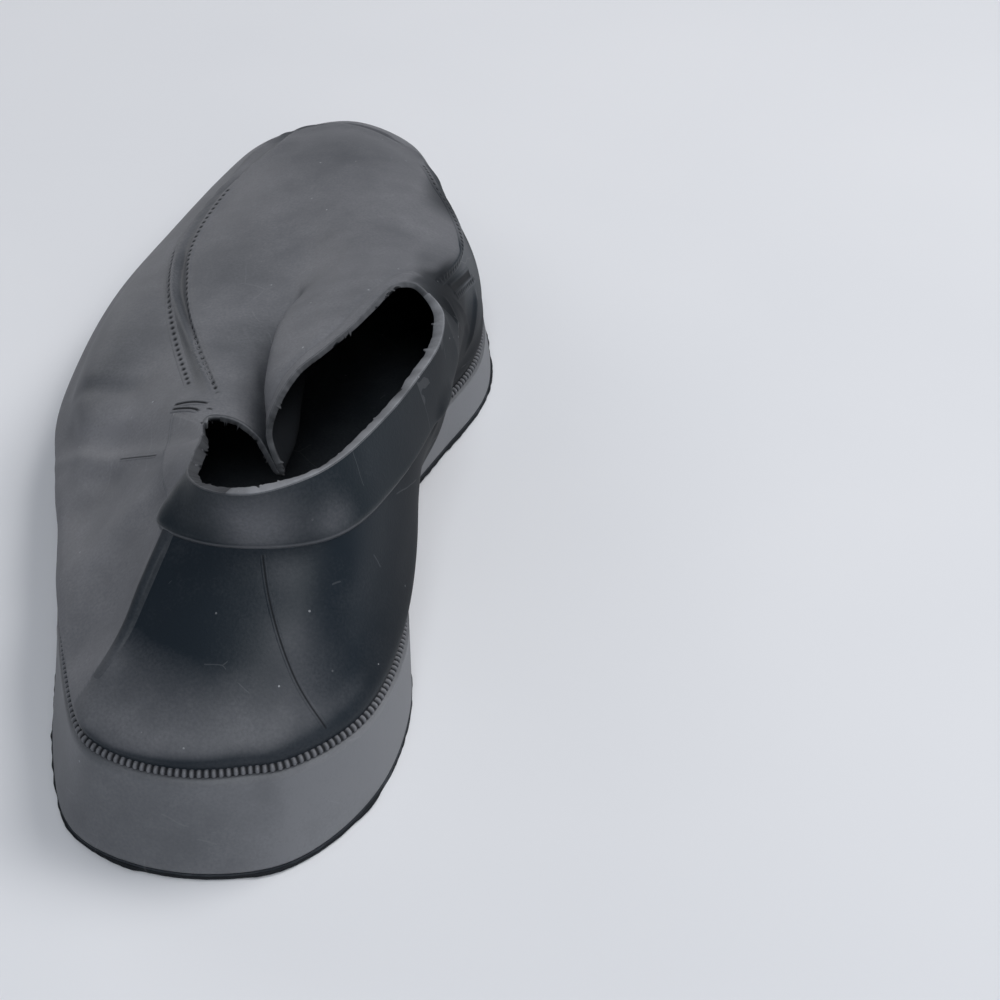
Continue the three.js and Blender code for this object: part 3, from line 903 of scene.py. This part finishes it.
inside = np.zeros(lining.shape[:2])
skin_bloom = bloom_at(skin, skin_out) * (1 - apron_dark) * (1 - seam_dark)
skin_soot = INNER_SOOT * (1 - rubbed_inner(skin, skin_out))
new_piece(
    "upper_wall", np.concatenate([skin, lining], axis=1), "upper_rubber", upper_rubber, ("upper",),
    bloom=np.concatenate([skin_bloom, inside], axis=1),
    soot=np.concatenate([skin_soot, inside + LINING_SOOT], axis=1),
    wear=np.concatenate([seam_pale, inside], axis=1),
)

# %% [markdown]
# The band round the opening lies on the skin, from the inner slot round the heel to the outer slot. It
# stands a millimetre and a quarter proud round the heel and thins out to almost nothing at both ends,
# where it runs into the wall. Its lower edge is a small step, and a painted highlight lightens that edge.

# %% The collar's thickness
COLLAR_FIRST = 72
COLLAR_LAST = 116.5
COLLAR_FROM_RING = 13
COLLAR_KNOTS = (72.0, 75.0, 108.0, 114.0)
COLLAR_THICK = 1.25 * MM
COLLAR_END_THICK = 0.3 * MM


def collar_thickness(places):
    """The band's thickness at places counted in CAD columns."""
    turned = np.where(places < COLLAR_FIRST - 1, places + COLUMN_COUNT, places)
    return np.interp(turned, COLLAR_KNOTS, (COLLAR_END_THICK, COLLAR_THICK, COLLAR_THICK, COLLAR_END_THICK))


# %% Collar band
COLLAR_STEP = (-0.05, 0.35, 0.8, 0.97)
COLLAR_END_LIFT = 0.2
COLLAR_CORNER = -3.2 * MM
# Painted shade on the band's inner side, and a painted highlight along the step of its lower edge.
COLLAR_SOOT = 0.7 * INNER_SOOT
BACK_DEPTH = 0.3 * MM
BACK_SKIP = 4
EDGE_WEAR = 0.35
# Painted reflections: two soft pale spots on the band at the heel.
SHINY_SPOTS = [
    # where      radius    share
    ((258, 522), 8.0 * MM, 0.60),
    ((331, 520), 5.0 * MM, 0.32),
]

collar_columns = np.arange(COLLAR_FIRST * FINE_PER_COLUMN, int(COLLAR_LAST * FINE_PER_COLUMN) + 1)
collar_rows = np.arange(COLLAR_FROM_RING * FINE_PER_RING, SKIN_ROWS)
band_base = skin[collar_columns % COLUMNS][:, collar_rows]
band_out = skin_out[collar_columns % COLUMNS][:, collar_rows]
rise_share = np.ones(len(collar_rows))
rise_share[:len(COLLAR_STEP)] = COLLAR_STEP
band_lift = collar_thickness(collar_columns / FINE_PER_COLUMN)[:, None] * rise_share
band_lift[:2] *= COLLAR_END_LIFT
band_lift[-2:] *= COLLAR_END_LIFT
band_face = band_base + band_out * band_lift[:, :, None]
band_back = (band_base - band_out * BACK_DEPTH)[:, ::-BACK_SKIP]
shine = sum(share * spot_glow(band_base, mark, radius, skin_tree) for mark, radius, share in SHINY_SPOTS)
band_bloom = np.clip(bloom_at(band_base, band_out, COLLAR_CORNER) + shine, 0, 1)
band_soot = COLLAR_SOOT * (1 - rubbed_inner(band_base, band_out))
band_wear = np.zeros(band_bloom.shape)
band_wear[:, 1] = EDGE_WEAR
back_value = np.zeros(band_back.shape[:2])
new_piece(
    "collar_wall", np.concatenate([band_face, band_back], axis=1), "collar_rubber", collar_rubber,
    ("collar_band",), closed=False,
    bloom=np.concatenate([band_bloom, back_value], axis=1),
    soot=np.concatenate([band_soot, back_value], axis=1),
    wear=np.concatenate([band_wear, back_value], axis=1),
)

# %% [markdown]
# The opening was cut by hand, so its edge is pale, uneven and has burrs on the inner side, and a bit is
# torn out of the outer corner. The cut is a closed strip that caps the wall and the band together, in
# steps of a third of a millimetre. A seeded generator gives its roughness.

# %% Roughness along a closed line
ROUGH_SEED = 7
GRAIN_SOFTNESS = 2.2

random_draws = np.random.RandomState(ROUGH_SEED)


def rough_line(count, *parts):
    """Uneven values round a closed line, the sum of parts that have a spread and a grain in points."""
    total = np.zeros(count)
    for spread, grain in parts:
        waves = np.fft.rfft(random_draws.standard_normal(count))
        waves *= np.exp(-((np.arange(len(waves)) * grain * GRAIN_SOFTNESS / count) ** 2))
        values = np.fft.irfft(waves, count)
        total += spread * (values - values.mean()) / values.std()
    return total


# %% Lines of the cut rim
RIM_STEPS = 1152
RIM_LEAN = 3
BARE_THICK = 0.05 * MM

rim_places = np.arange(RIM_STEPS) * COLUMN_COUNT / RIM_STEPS


def round_rim(line):
    """A line of the fine columns, read at the rim's places."""
    return read_line(np.vstack([line, line[:1]]), rim_places, np.arange(COLUMNS + 1) / FINE_PER_COLUMN)


def unit(vectors):
    """Vectors at a length of one."""
    return vectors / np.linalg.norm(vectors, axis=1, keepdims=True)


rim_outer = round_rim(skin[:, -1])
rim_rise = unit(rim_outer - round_rim(skin[:, -1 - RIM_LEAN]))
rim_out = unit(round_rim(skin_out[:, -1]))
rim_inner = round_rim(lining[:, 0])
on_collar = (rim_places >= COLLAR_FIRST) | (rim_places <= COLLAR_LAST - COLUMN_COUNT)
rim_thick = np.where(on_collar, collar_thickness(rim_places), BARE_THICK)
print("the rim is", round(way_along(rim_outer)[-1] / MM), "mm long")

# %% Tears, burrs and tatters
TEAR_COLUMNS = (17.0, 18.5, 22.5, 24.5)
RAGGED_COLUMNS = (2.0, 6.0, 20.0, 23.0)
BURRS_FROM = 1.5
BURR_LIMIT = 1.3
BURR_REACH = 0.9
TATTER_HEIGHT = 0.4
TORN_REACH = 0.4
TEAR_DEPTH = 1.2
TEAR_RISE = 1.6

torn = np.interp(rim_places, TEAR_COLUMNS, (0, 1, 1, 0))
ragged = np.interp(rim_places, RAGGED_COLUMNS, (0, 1, 1, 0))
fray = rough_line(RIM_STEPS, (0.04, 3), (0.05, 14))
inner_fray = rough_line(RIM_STEPS, (0.06, 3), (0.10, 10))
burrs = np.clip(rough_line(RIM_STEPS, (1, 2)) - BURRS_FROM, 0, BURR_LIMIT) * BURR_REACH
tear = torn * rough_line(RIM_STEPS, (0.8, 16), (0.35, 6))
tatters = ragged * rough_line(RIM_STEPS, (TATTER_HEIGHT, 8)) + burrs * TATTER_HEIGHT
outer_height = (fray + np.clip(tear, -TEAR_DEPTH, TEAR_DEPTH)) * MM
inner_height = (inner_fray + tatters + np.clip(tear, -TEAR_DEPTH, TEAR_RISE)) * MM
inner_reach = (burrs + torn * TORN_REACH) * MM

# %% Cut rim
BARE_PLACES = (0, 24, 80, 90)
BARE_SHARES = (0.2, 0.15, 1.0, 1.0)
BARE_ELSEWHERE = 0.4
RIM_SECTION = [
    # from      outwards                    up                         wear   painted shade
    (rim_outer, rim_thick - 0.10 * MM,      -1.1 * MM,                 0.0,   0.0),
    (rim_outer, rim_thick + 0.02 * MM,      -0.12 * MM,                0.25,  0.0),
    (rim_outer, rim_thick - 0.10 * MM,      outer_height + 0.22 * MM,  0.7,   0.0),
    (rim_outer, rim_thick - 0.35 * MM,      outer_height + 0.25 * MM,  0.6,   0.0),
    (rim_inner, 0.10 * MM - inner_reach,    inner_height + 0.22 * MM,  0.6,   0.0),
    (rim_inner, -inner_reach - 0.05 * MM,   inner_height + 0.05 * MM,  0.3,   0.3),
    (rim_inner, -inner_reach * 0.3 - 0.06 * MM, -0.45 * MM,            0.0,   0.8),
    (rim_inner, 0.08 * MM,                  -1.1 * MM,                 0.0,   0.9),
    ((rim_outer + rim_inner) / 2, 0.0,      -1.1 * MM,                 0.0,   0.9),
]
CUT_WEAR = 0.6
# Painted shade: the inner rows that turn down into the opening are darkened, and the cut's top is darker
# where less of its edge is bare.
CUT_SOOT = 0.6
MOST_SOOT = 0.95
TORN_WEAR = 0.3
RIM_WEAR_SHARE = 0.45

bare_edge = np.where(on_collar, np.interp(rim_places, BARE_PLACES, BARE_SHARES), BARE_ELSEWHERE)
rim = np.zeros((RIM_STEPS, len(RIM_SECTION), 3))
rim_pale = np.zeros(rim.shape[:2])
rim_soot = np.zeros(rim.shape[:2])
for place, (base, out, up, wear, soot) in enumerate(RIM_SECTION):
    out = np.broadcast_to(out, RIM_STEPS)[:, None]
    up = np.broadcast_to(up, RIM_STEPS)[:, None]
    rim[:, place] = base + rim_out * out + rim_rise * up
    rim_pale[:, place] = wear * (1 + TORN_WEAR * torn) * bare_edge
    rim_soot[:, place] = np.clip(soot + CUT_SOOT * (1 - bare_edge) * (wear == CUT_WEAR), 0, MOST_SOOT)
rim_pale = np.clip(rim_pale * (1 + rough_line(RIM_STEPS, (0.2, 6)))[:, None], 0, 1)
new_piece("cut_rim", rim, "collar_rubber", cut_rubber, bloom=rim_pale, soot=rim_soot,
          wear=rim_pale * RIM_WEAR_SHARE)

# %% [markdown]
# Stitch dimples, slots and hairlines are finer than the wall's net. Each is a narrow strip of its own
# with a net of a quarter millimetre or less. It lies on the wall, its edges sink just under the skin,
# and its section carries the dimples or the groove. A strip's relief never goes below the skin, because
# the skin would show through it, so painted shade deepens its dimples and grooves. Bloom with its
# painted light and the painted shade are worked out as on the skin, so its edges don't show.

# %% Strips on the wall
STRIP_STEP = 0.25 * MM
STRIP_SINK = 0.06 * MM
STRIP_UNDER = 0.5 * MM
STRIP_SLOPE = 0.35
EVEN_PLACES = 9
EVEN_DIRECTIONS = 13


def smooth_along(values, width):
    """A line of vectors, averaged over its neighbours."""
    window = np.hanning(width + 2)[1:-1]
    window /= window.sum()
    padded = np.concatenate([values[:1].repeat(width // 2, 0), values, values[-1:].repeat(width // 2, 0)])
    return np.stack([np.convolve(padded[:, axis], window, "valid") for axis in range(3)], axis=1)


def wall_strip(name, marks, half_width, relief, step_length=STRIP_STEP, end_fade=1.5 * MM, bloom_share=1.0):
    """A narrow strip on the wall. relief gives heights and painted shade from the way along and across."""
    line, outward = wall_line(marks, skin_tree, step_length)
    line = smooth_along(line, EVEN_PLACES)
    outward = unit(smooth_along(outward, EVEN_DIRECTIONS))
    across = unit(np.cross(unit(np.gradient(line, axis=0)), outward))
    offsets = np.linspace(-half_width, half_width, max(int(2 * half_width / step_length) | 1, 7))
    along = way_along(line)
    heights, soot = relief(along[:, None], offsets[None, :], along[-1])
    sheet = np.zeros((len(line), len(offsets), 3))
    for i in range(len(line)):
        for j, offset in enumerate(offsets):
            sheet[i, j] = skin_tree.find_nearest(Vector(line[i] + across[i] * offset))[0]
    ends = np.clip(np.minimum(along, along[-1] - along) / end_fade, 0, 1)[:, None]
    fade = ends * eased((half_width - np.abs(offsets)) / (STRIP_SLOPE * half_width))
    heights = (heights + STRIP_SINK) * fade - STRIP_SINK
    face = sheet + outward[:, None] * heights[:, :, None]
    under = sheet[:, [-1, 0]] - outward[:, None] * STRIP_UNDER
    bloom = np.repeat(bloom_at(line, outward)[:, None], len(offsets) + 2, axis=1) * bloom_share
    around = INNER_SOOT * (1 - rubbed_inner(line, outward))[:, None]
    shade = np.concatenate([np.maximum(soot * fade, around), np.zeros((len(line), 2))], axis=1)
    new_piece(name, np.concatenate([face, under], axis=1), "upper_rubber", upper_rubber,
              closed=False, bloom=bloom, soot=shade, wear=shade * 0)


# %% [markdown]
# The stitches are moulded and not sewn: a low band with a dimple for every stitch and a small swell of
# thread between two dimples. They are 2.7 mm apart. Seen from above and behind, the far rows are much
# foreshortened, and dimples that are longer along the row than across it still read as stitches there.

# %% Rows of stitch dimples
STITCH_PITCH = 2.7 * MM
STITCH_HALF = 1.5 * MM
STITCH_ENDS = 3 * MM
STITCH_HEIGHTS = (0.15 * MM, 0.08 * MM, 0.12 * MM)
DIMPLE_SIZE = (0.72 * MM, 0.52 * MM)
THREAD_SIZE = (0.45 * MM, 0.7 * MM)
# Painted shade in the dimples, which can't sink below the skin.
DIMPLE_DIRT = 1.4
DIRT_FROM = 0.1
MOST_DIRT = 0.95
STITCH_ROWS = {
    "outer_stitch_row": [
        (176, 247), (172, 262), (169.5, 283), (169, 302), (171, 320), (176, 343), (179, 354), (184, 370),
        (187.5, 380), (190, 388),
    ],
    "apron_outer_stitches": [
        (219, 396), (212, 381), (208, 373), (203, 359), (198, 348), (191, 321), (188, 304), (187, 282),
        (188, 259), (193, 243), (199, 231), (206, 219), (224, 194), (234, 184),
    ],
    "apron_inner_stitches": [
        (421, 163), (427, 171), (433, 185), (445, 200), (455, 220), (462, 238), (461, 258), (451, 272),
        (437, 284),
    ],
    "slot_stitches": [(455, 297), (465, 288), (475, 277)],
}


def stitch_relief(along, across, length):
    """A low rounded band with a dimple at every stitch, darkened in its dimples as painted shade."""
    phase = (along / STITCH_PITCH) % 1 - 0.5
    between = (np.abs(phase) - 0.5) * STITCH_PITCH
    dimple = ridge(phase * STITCH_PITCH, DIMPLE_SIZE[0]) * ridge(across, DIMPLE_SIZE[1])
    thread = ridge(between, THREAD_SIZE[0]) * ridge(across, THREAD_SIZE[1])
    band, swell, depth = STITCH_HEIGHTS
    dirt = np.clip(dimple * DIMPLE_DIRT - DIRT_FROM, 0, MOST_DIRT)
    return band + swell * thread - depth * dimple, dirt


for row_name, row_marks in STITCH_ROWS.items():
    wall_strip(row_name, row_marks, STITCH_HALF, stitch_relief, end_fade=STITCH_ENDS)

# %% [markdown]
# The slots beside the opening, the moulding's parting line down the heel and the two hairlines in the
# outer quarter are all the same thing at different sizes: a groove in a low band. Painted shade fills them.

# %% Slots, parting line and hairlines
GROOVE_BAND = 0.05 * MM
GROOVE_DEPTH = 0.92
GROOVE_DIRT = 1.2
HAIR_STEP = 0.16 * MM
INNER_SLOT = [(451, 290), (461, 281), (470, 272)]
PARTING_LINE = [
    (262, 551), (266, 585), (272, 612), (280, 641), (290, 668), (299, 688), (313, 710), (328, 732),
]
HAIRLINE = [(163, 454), (175, 451), (190, 447.5), (206, 444)]
LONG_HAIRLINE = [(118, 459.5), (135, 457.5), (158, 455)]
GROOVES = [
    # name                    half  groove depth  step        marks
    ("outer_slot_1",          1.3,  0.40,  0.20,  STRIP_STEP, OUTER_SLOTS[0]),
    ("outer_slot_2",          1.3,  0.40,  0.20,  STRIP_STEP, OUTER_SLOTS[1]),
    ("outer_slot_3",          1.3,  0.40,  0.20,  STRIP_STEP, OUTER_SLOTS[2]),
    ("inner_slot",            2.0,  1.05,  0.30,  STRIP_STEP, INNER_SLOT),
    ("parting_line",          0.8,  0.17,  0.05,  HAIR_STEP,  PARTING_LINE),
    ("quarter_hairline",      0.8,  0.15,  0.05,  HAIR_STEP,  HAIRLINE),
    ("quarter_long_hairline", 0.8,  0.15,  0.03,  HAIR_STEP,  LONG_HAIRLINE),
]


def groove_relief(width, depth):
    """A low band with one groove along its middle, darkened as painted shade."""
    def relief(along, across, length):
        groove = np.exp(-((across / width) ** 4)) + 0 * along
        dirt = np.clip(groove * GROOVE_DIRT, 0, MOST_DIRT)
        return GROOVE_BAND + depth * (1 - GROOVE_DEPTH * groove), dirt
    return relief


for name, half, width, depth, step_length, marks in GROOVES:
    wall_strip(name, marks, half * MM, groove_relief(width * MM, depth * MM), step_length)

# %% [markdown]
# Where the soft wall folded over the heel's corner it has kept a round roll, which ends the paler outer
# side and begins the darker back of the heel. Pressed into the skin it would be jagged, because it runs
# slantwise over the net. So it is a strip as well, on the broad low ridge that the folds gave it, and
# it flattens and fades towards its lower end.

# %% Rolled strip on the heel
STRIP_HALF = 2.0 * MM
ROLL_HALF = 1.9 * MM
ROLL_ENDS = 14 * MM
# Painted shade: the roll keeps less of the bloom and light, and darkens across its width.
ROLL_BLOOM = 0.72
ROLL_MARKS = [(178, 503)] + HEEL_STRIP[2:]
ROLL_SHADE = 0.12
ROLL_SHADE_SPAN = 5 * MM
ROLL_SHADE_LIMIT = 0.4


def roll_relief(along, across, length):
    """A round roll that flattens towards its lower end."""
    height = np.interp(along / length, (0, 0.45, 0.8, 1.0), (1.2, 1.1, 0.6, 0.1)) * MM
    lasting = np.interp(along / length, (0, 0.7, 1), (1, 1, 0))
    shaded = np.clip(ROLL_SHADE + across / ROLL_SHADE_SPAN, 0, ROLL_SHADE_LIMIT) * lasting
    return height * np.sqrt(np.clip(1 - (across / ROLL_HALF) ** 2, 0, 1)), shaded


wall_strip("heel_roll", ROLL_MARKS, STRIP_HALF, roll_relief, end_fade=ROLL_ENDS, bloom_share=ROLL_BLOOM)

# %% [markdown]
# The foxing is the smooth band that turns up from the sole. It is nearly straight in section, so the
# spline through its three CAD rings is enough. It is least pale in its middle and paler along its foot
# and its top edge. Two of its sides get painted light, a painted reflection of the bright floor, and a
# direction picks each.

# %% Foxing
BAND_ROWS = 21
INSIDE_ROWS = 5
MIDDLE_BLOOM = 0.46
FOOT_BLOOM = 0.25
EDGE_BLOOM = 0.15
# Painted light: the sides that look out to the right and to the left, a little towards the heel, are paler,
# and the right one also gets a painted highlight.
DUSTY_WAY = np.array([0.85, -0.5, 0.0])
OTHER_WAY = np.array([-0.93, -0.37, 0.0])
DUSTY_BLOOM = 0.8
OTHER_BLOOM = 0.4
DUSTY_WEAR = 0.3

foxing_rings = rings_of("foxing")
band = smooth_sheet(foxing_rings[:3], np.linspace(0, 2, BAND_ROWS), fine_columns)
band_inside = smooth_sheet(foxing_rings[3:], np.linspace(0, 2, INSIDE_ROWS), fine_columns)
foxing_sheet = np.concatenate([band, band_inside], axis=1)
foxing_out = sheet_normals(foxing_sheet)
foot_share = np.concatenate([np.linspace(0, 1, BAND_ROWS), np.ones(INSIDE_ROWS)])
dusty_side = np.clip(foxing_out @ DUSTY_WAY, 0, 1) ** 3
other_side = np.clip(foxing_out @ OTHER_WAY, 0, 1) ** 3
foxing_bloom = MIDDLE_BLOOM + FOOT_BLOOM * (1 - foot_share) ** 2 + EDGE_BLOOM * foot_share**6
foxing_bloom = np.clip(foxing_bloom + DUSTY_BLOOM * dusty_side + OTHER_BLOOM * other_side, 0, 1)
new_piece("foxing_band", foxing_sheet, "foxing_rubber", foxing_rubber, ("foxing",),
          bloom=foxing_bloom, soot=foxing_bloom * 0, wear=DUSTY_WEAR * dusty_side)

# %% [markdown]
# The welt is a bead with some 450 fine ribs across it, pressed by a knurled wheel. One long closed
# sweep makes it: the section swells and shrinks once for each rib, in eight steps, which stays far
# lighter than a mesh for every rib. The bead is darkened all over, painted shade darkens the gaps
# between the ribs more, and a painted highlight lightens their tops.

# %% Closed lines with even steps
def even_line(points, count):
    """A closed line through points again, with even steps, and its length."""
    closed_points = np.vstack([points, points[:1]])
    along = way_along(closed_points)
    return read_line(closed_points, np.arange(count) / count * along[-1], along), along[-1]


def beside_line(line):
    """Level directions to the outside of a closed line."""
    ahead = np.roll(line, -1, axis=0) - np.roll(line, 1, axis=0)
    aside = unit(np.stack([-ahead[:, 1], ahead[:, 0], np.zeros(len(line))], axis=1))
    return aside if ((line - line.mean(axis=0)) * aside).sum() > 0 else -aside


# %% The welt's line and ribs
RIB_PITCH = 1.5 * MM
STEPS_PER_RIB = 8
LINE_PER_COLUMN = 10
RIB_MIDDLE = 0.5
RIB_SWING = 0.9

seat_places = np.arange(COLUMN_COUNT * LINE_PER_COLUMN) / LINE_PER_COLUMN
seat_line = smooth_sheet(foxing_rings[3:], [0], seat_places)[:, 0]
rib_count = round(even_line(seat_line, LINE_PER_COLUMN)[1] / RIB_PITCH)
seat, _ = even_line(seat_line, rib_count * STEPS_PER_RIB)
aside = beside_line(seat)
phase = np.arange(len(seat)) / STEPS_PER_RIB * 2 * math.pi
rib_shape = np.clip(RIB_MIDDLE + RIB_SWING * np.cos(phase), 0, 1)
print("the bead has", rib_count, "ribs")

# %% Welt
WELT_LIFT = 0.1 * MM
RIB_HEIGHT = 0.45 * MM
WELT_BLOOM = 0.75
# Painted highlight on the rib tops, painted shade in the gaps between them.
RIB_WEAR = 0.3
WORN_FROM = 0.6
PLAIN_SOOT = 0.5
VALLEY_SOOT = 0.9
SOOT_FALL = 1.2
SOOTY_FROM = 0.25
WELT_SECTION = [
    # out   up     rib share, and how much of it goes out and up
    (-0.60, 1.45,  0.0, 0.3, 0.8),
    (0.25,  1.60,  0.4, 0.3, 0.8),
    (0.80,  1.50,  1.0, 1.0, 0.8),
    (1.20,  1.25,  1.0, 1.0, 0.8),
    (1.45,  0.90,  0.9, 1.0, 0.1),
    (1.50,  0.58,  0.3, 1.0, 0.1),
    (1.45,  0.32,  0.7, 1.0, 0.1),
    (1.20,  0.02,  0.2, 1.0, 0.1),
    (0.60,  -0.10, 0.0, 0.3, 0.1),
    (-0.60, 0.10,  0.0, 0.3, 0.1),
]

bead = np.zeros((len(seat), len(WELT_SECTION), 3))
bead_soot = np.full(bead.shape[:2], PLAIN_SOOT)
for place, (out, up, share, out_share, up_share) in enumerate(WELT_SECTION):
    swell = share * (rib_shape - RIB_MIDDLE) * RIB_HEIGHT
    bead[:, place] = seat + aside * (out * MM + swell * out_share)[:, None]
    bead[:, place, 2] += up * MM + WELT_LIFT + swell * up_share
    if share > SOOTY_FROM:
        bead_soot[:, place] = np.clip(VALLEY_SOOT - rib_shape * SOOT_FALL, 0, 1)
bead_wear = np.clip(rib_shape - WORN_FROM, 0, 1)[:, None] * RIB_WEAR
new_piece("welt_bead", bead, "welt_rubber", welt_rubber, ("welt",),
          bloom=WELT_BLOOM + 0 * bead_soot, soot=bead_soot, wear=bead_wear + 0 * bead_soot)

# %% [markdown]
# The sole was trimmed by hand close to the foxing, which leaves a thin rough lip all round. It is a
# closed strip like the cut rim, standing about a third of a millimetre out of the CAD sole's edge.

# %% Trimmed sole edge
TRIM_STEPS = 1400
TRIM_ROUGHNESS = ((0.08, 3), (0.12, 12))
TRIM_BLOOM = 0.1
# Painted shade: the trimmed edge faces down and is darkened.
TRIM_SOOT = 0.75
TRIM_SECTION = [
    # out   up    roughness
    (-0.60, 1.15, 0.0),
    (0.12,  1.10, 0.5),
    (0.36,  0.85, 1.0),
    (0.28,  0.45, 0.9),
    (0.10,  0.15, 0.4),
    (-0.60, 0.10, 0.0),
]

foot_line = smooth_sheet(foxing_rings[:3], [0], fine_columns)[:, 0]
foot_line[:, 2] = 0
trim_line, trim_length = even_line(foot_line, TRIM_STEPS)
trim_aside = beside_line(trim_line)
trim_rough = rough_line(TRIM_STEPS, *TRIM_ROUGHNESS)
trim = np.zeros((TRIM_STEPS, len(TRIM_SECTION), 3))
for place, (out, up, share) in enumerate(TRIM_SECTION):
    trim[:, place] = trim_line + trim_aside * ((out + share * trim_rough) * MM)[:, None]
    trim[:, place, 2] = up * MM
trim_soot = np.full(trim.shape[:2], TRIM_SOOT)
new_piece("sole_trim", trim, "outsole_rubber", upper_rubber,
          bloom=trim_soot * 0 + TRIM_BLOOM, soot=trim_soot, wear=trim_soot * 0)
print("the sole's edge is", round(trim_length / MM), "mm long")

# %% [markdown]
# The sole itself keeps its CAD shape, because its tread and its floor are already right there. It only
# gets the duller rubber.

# %% Outsole
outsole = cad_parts["outsole"]
outsole.data.materials.clear()
outsole.data.materials.append(sole_rubber)
print("the sole wears", outsole.data.materials[0].name)
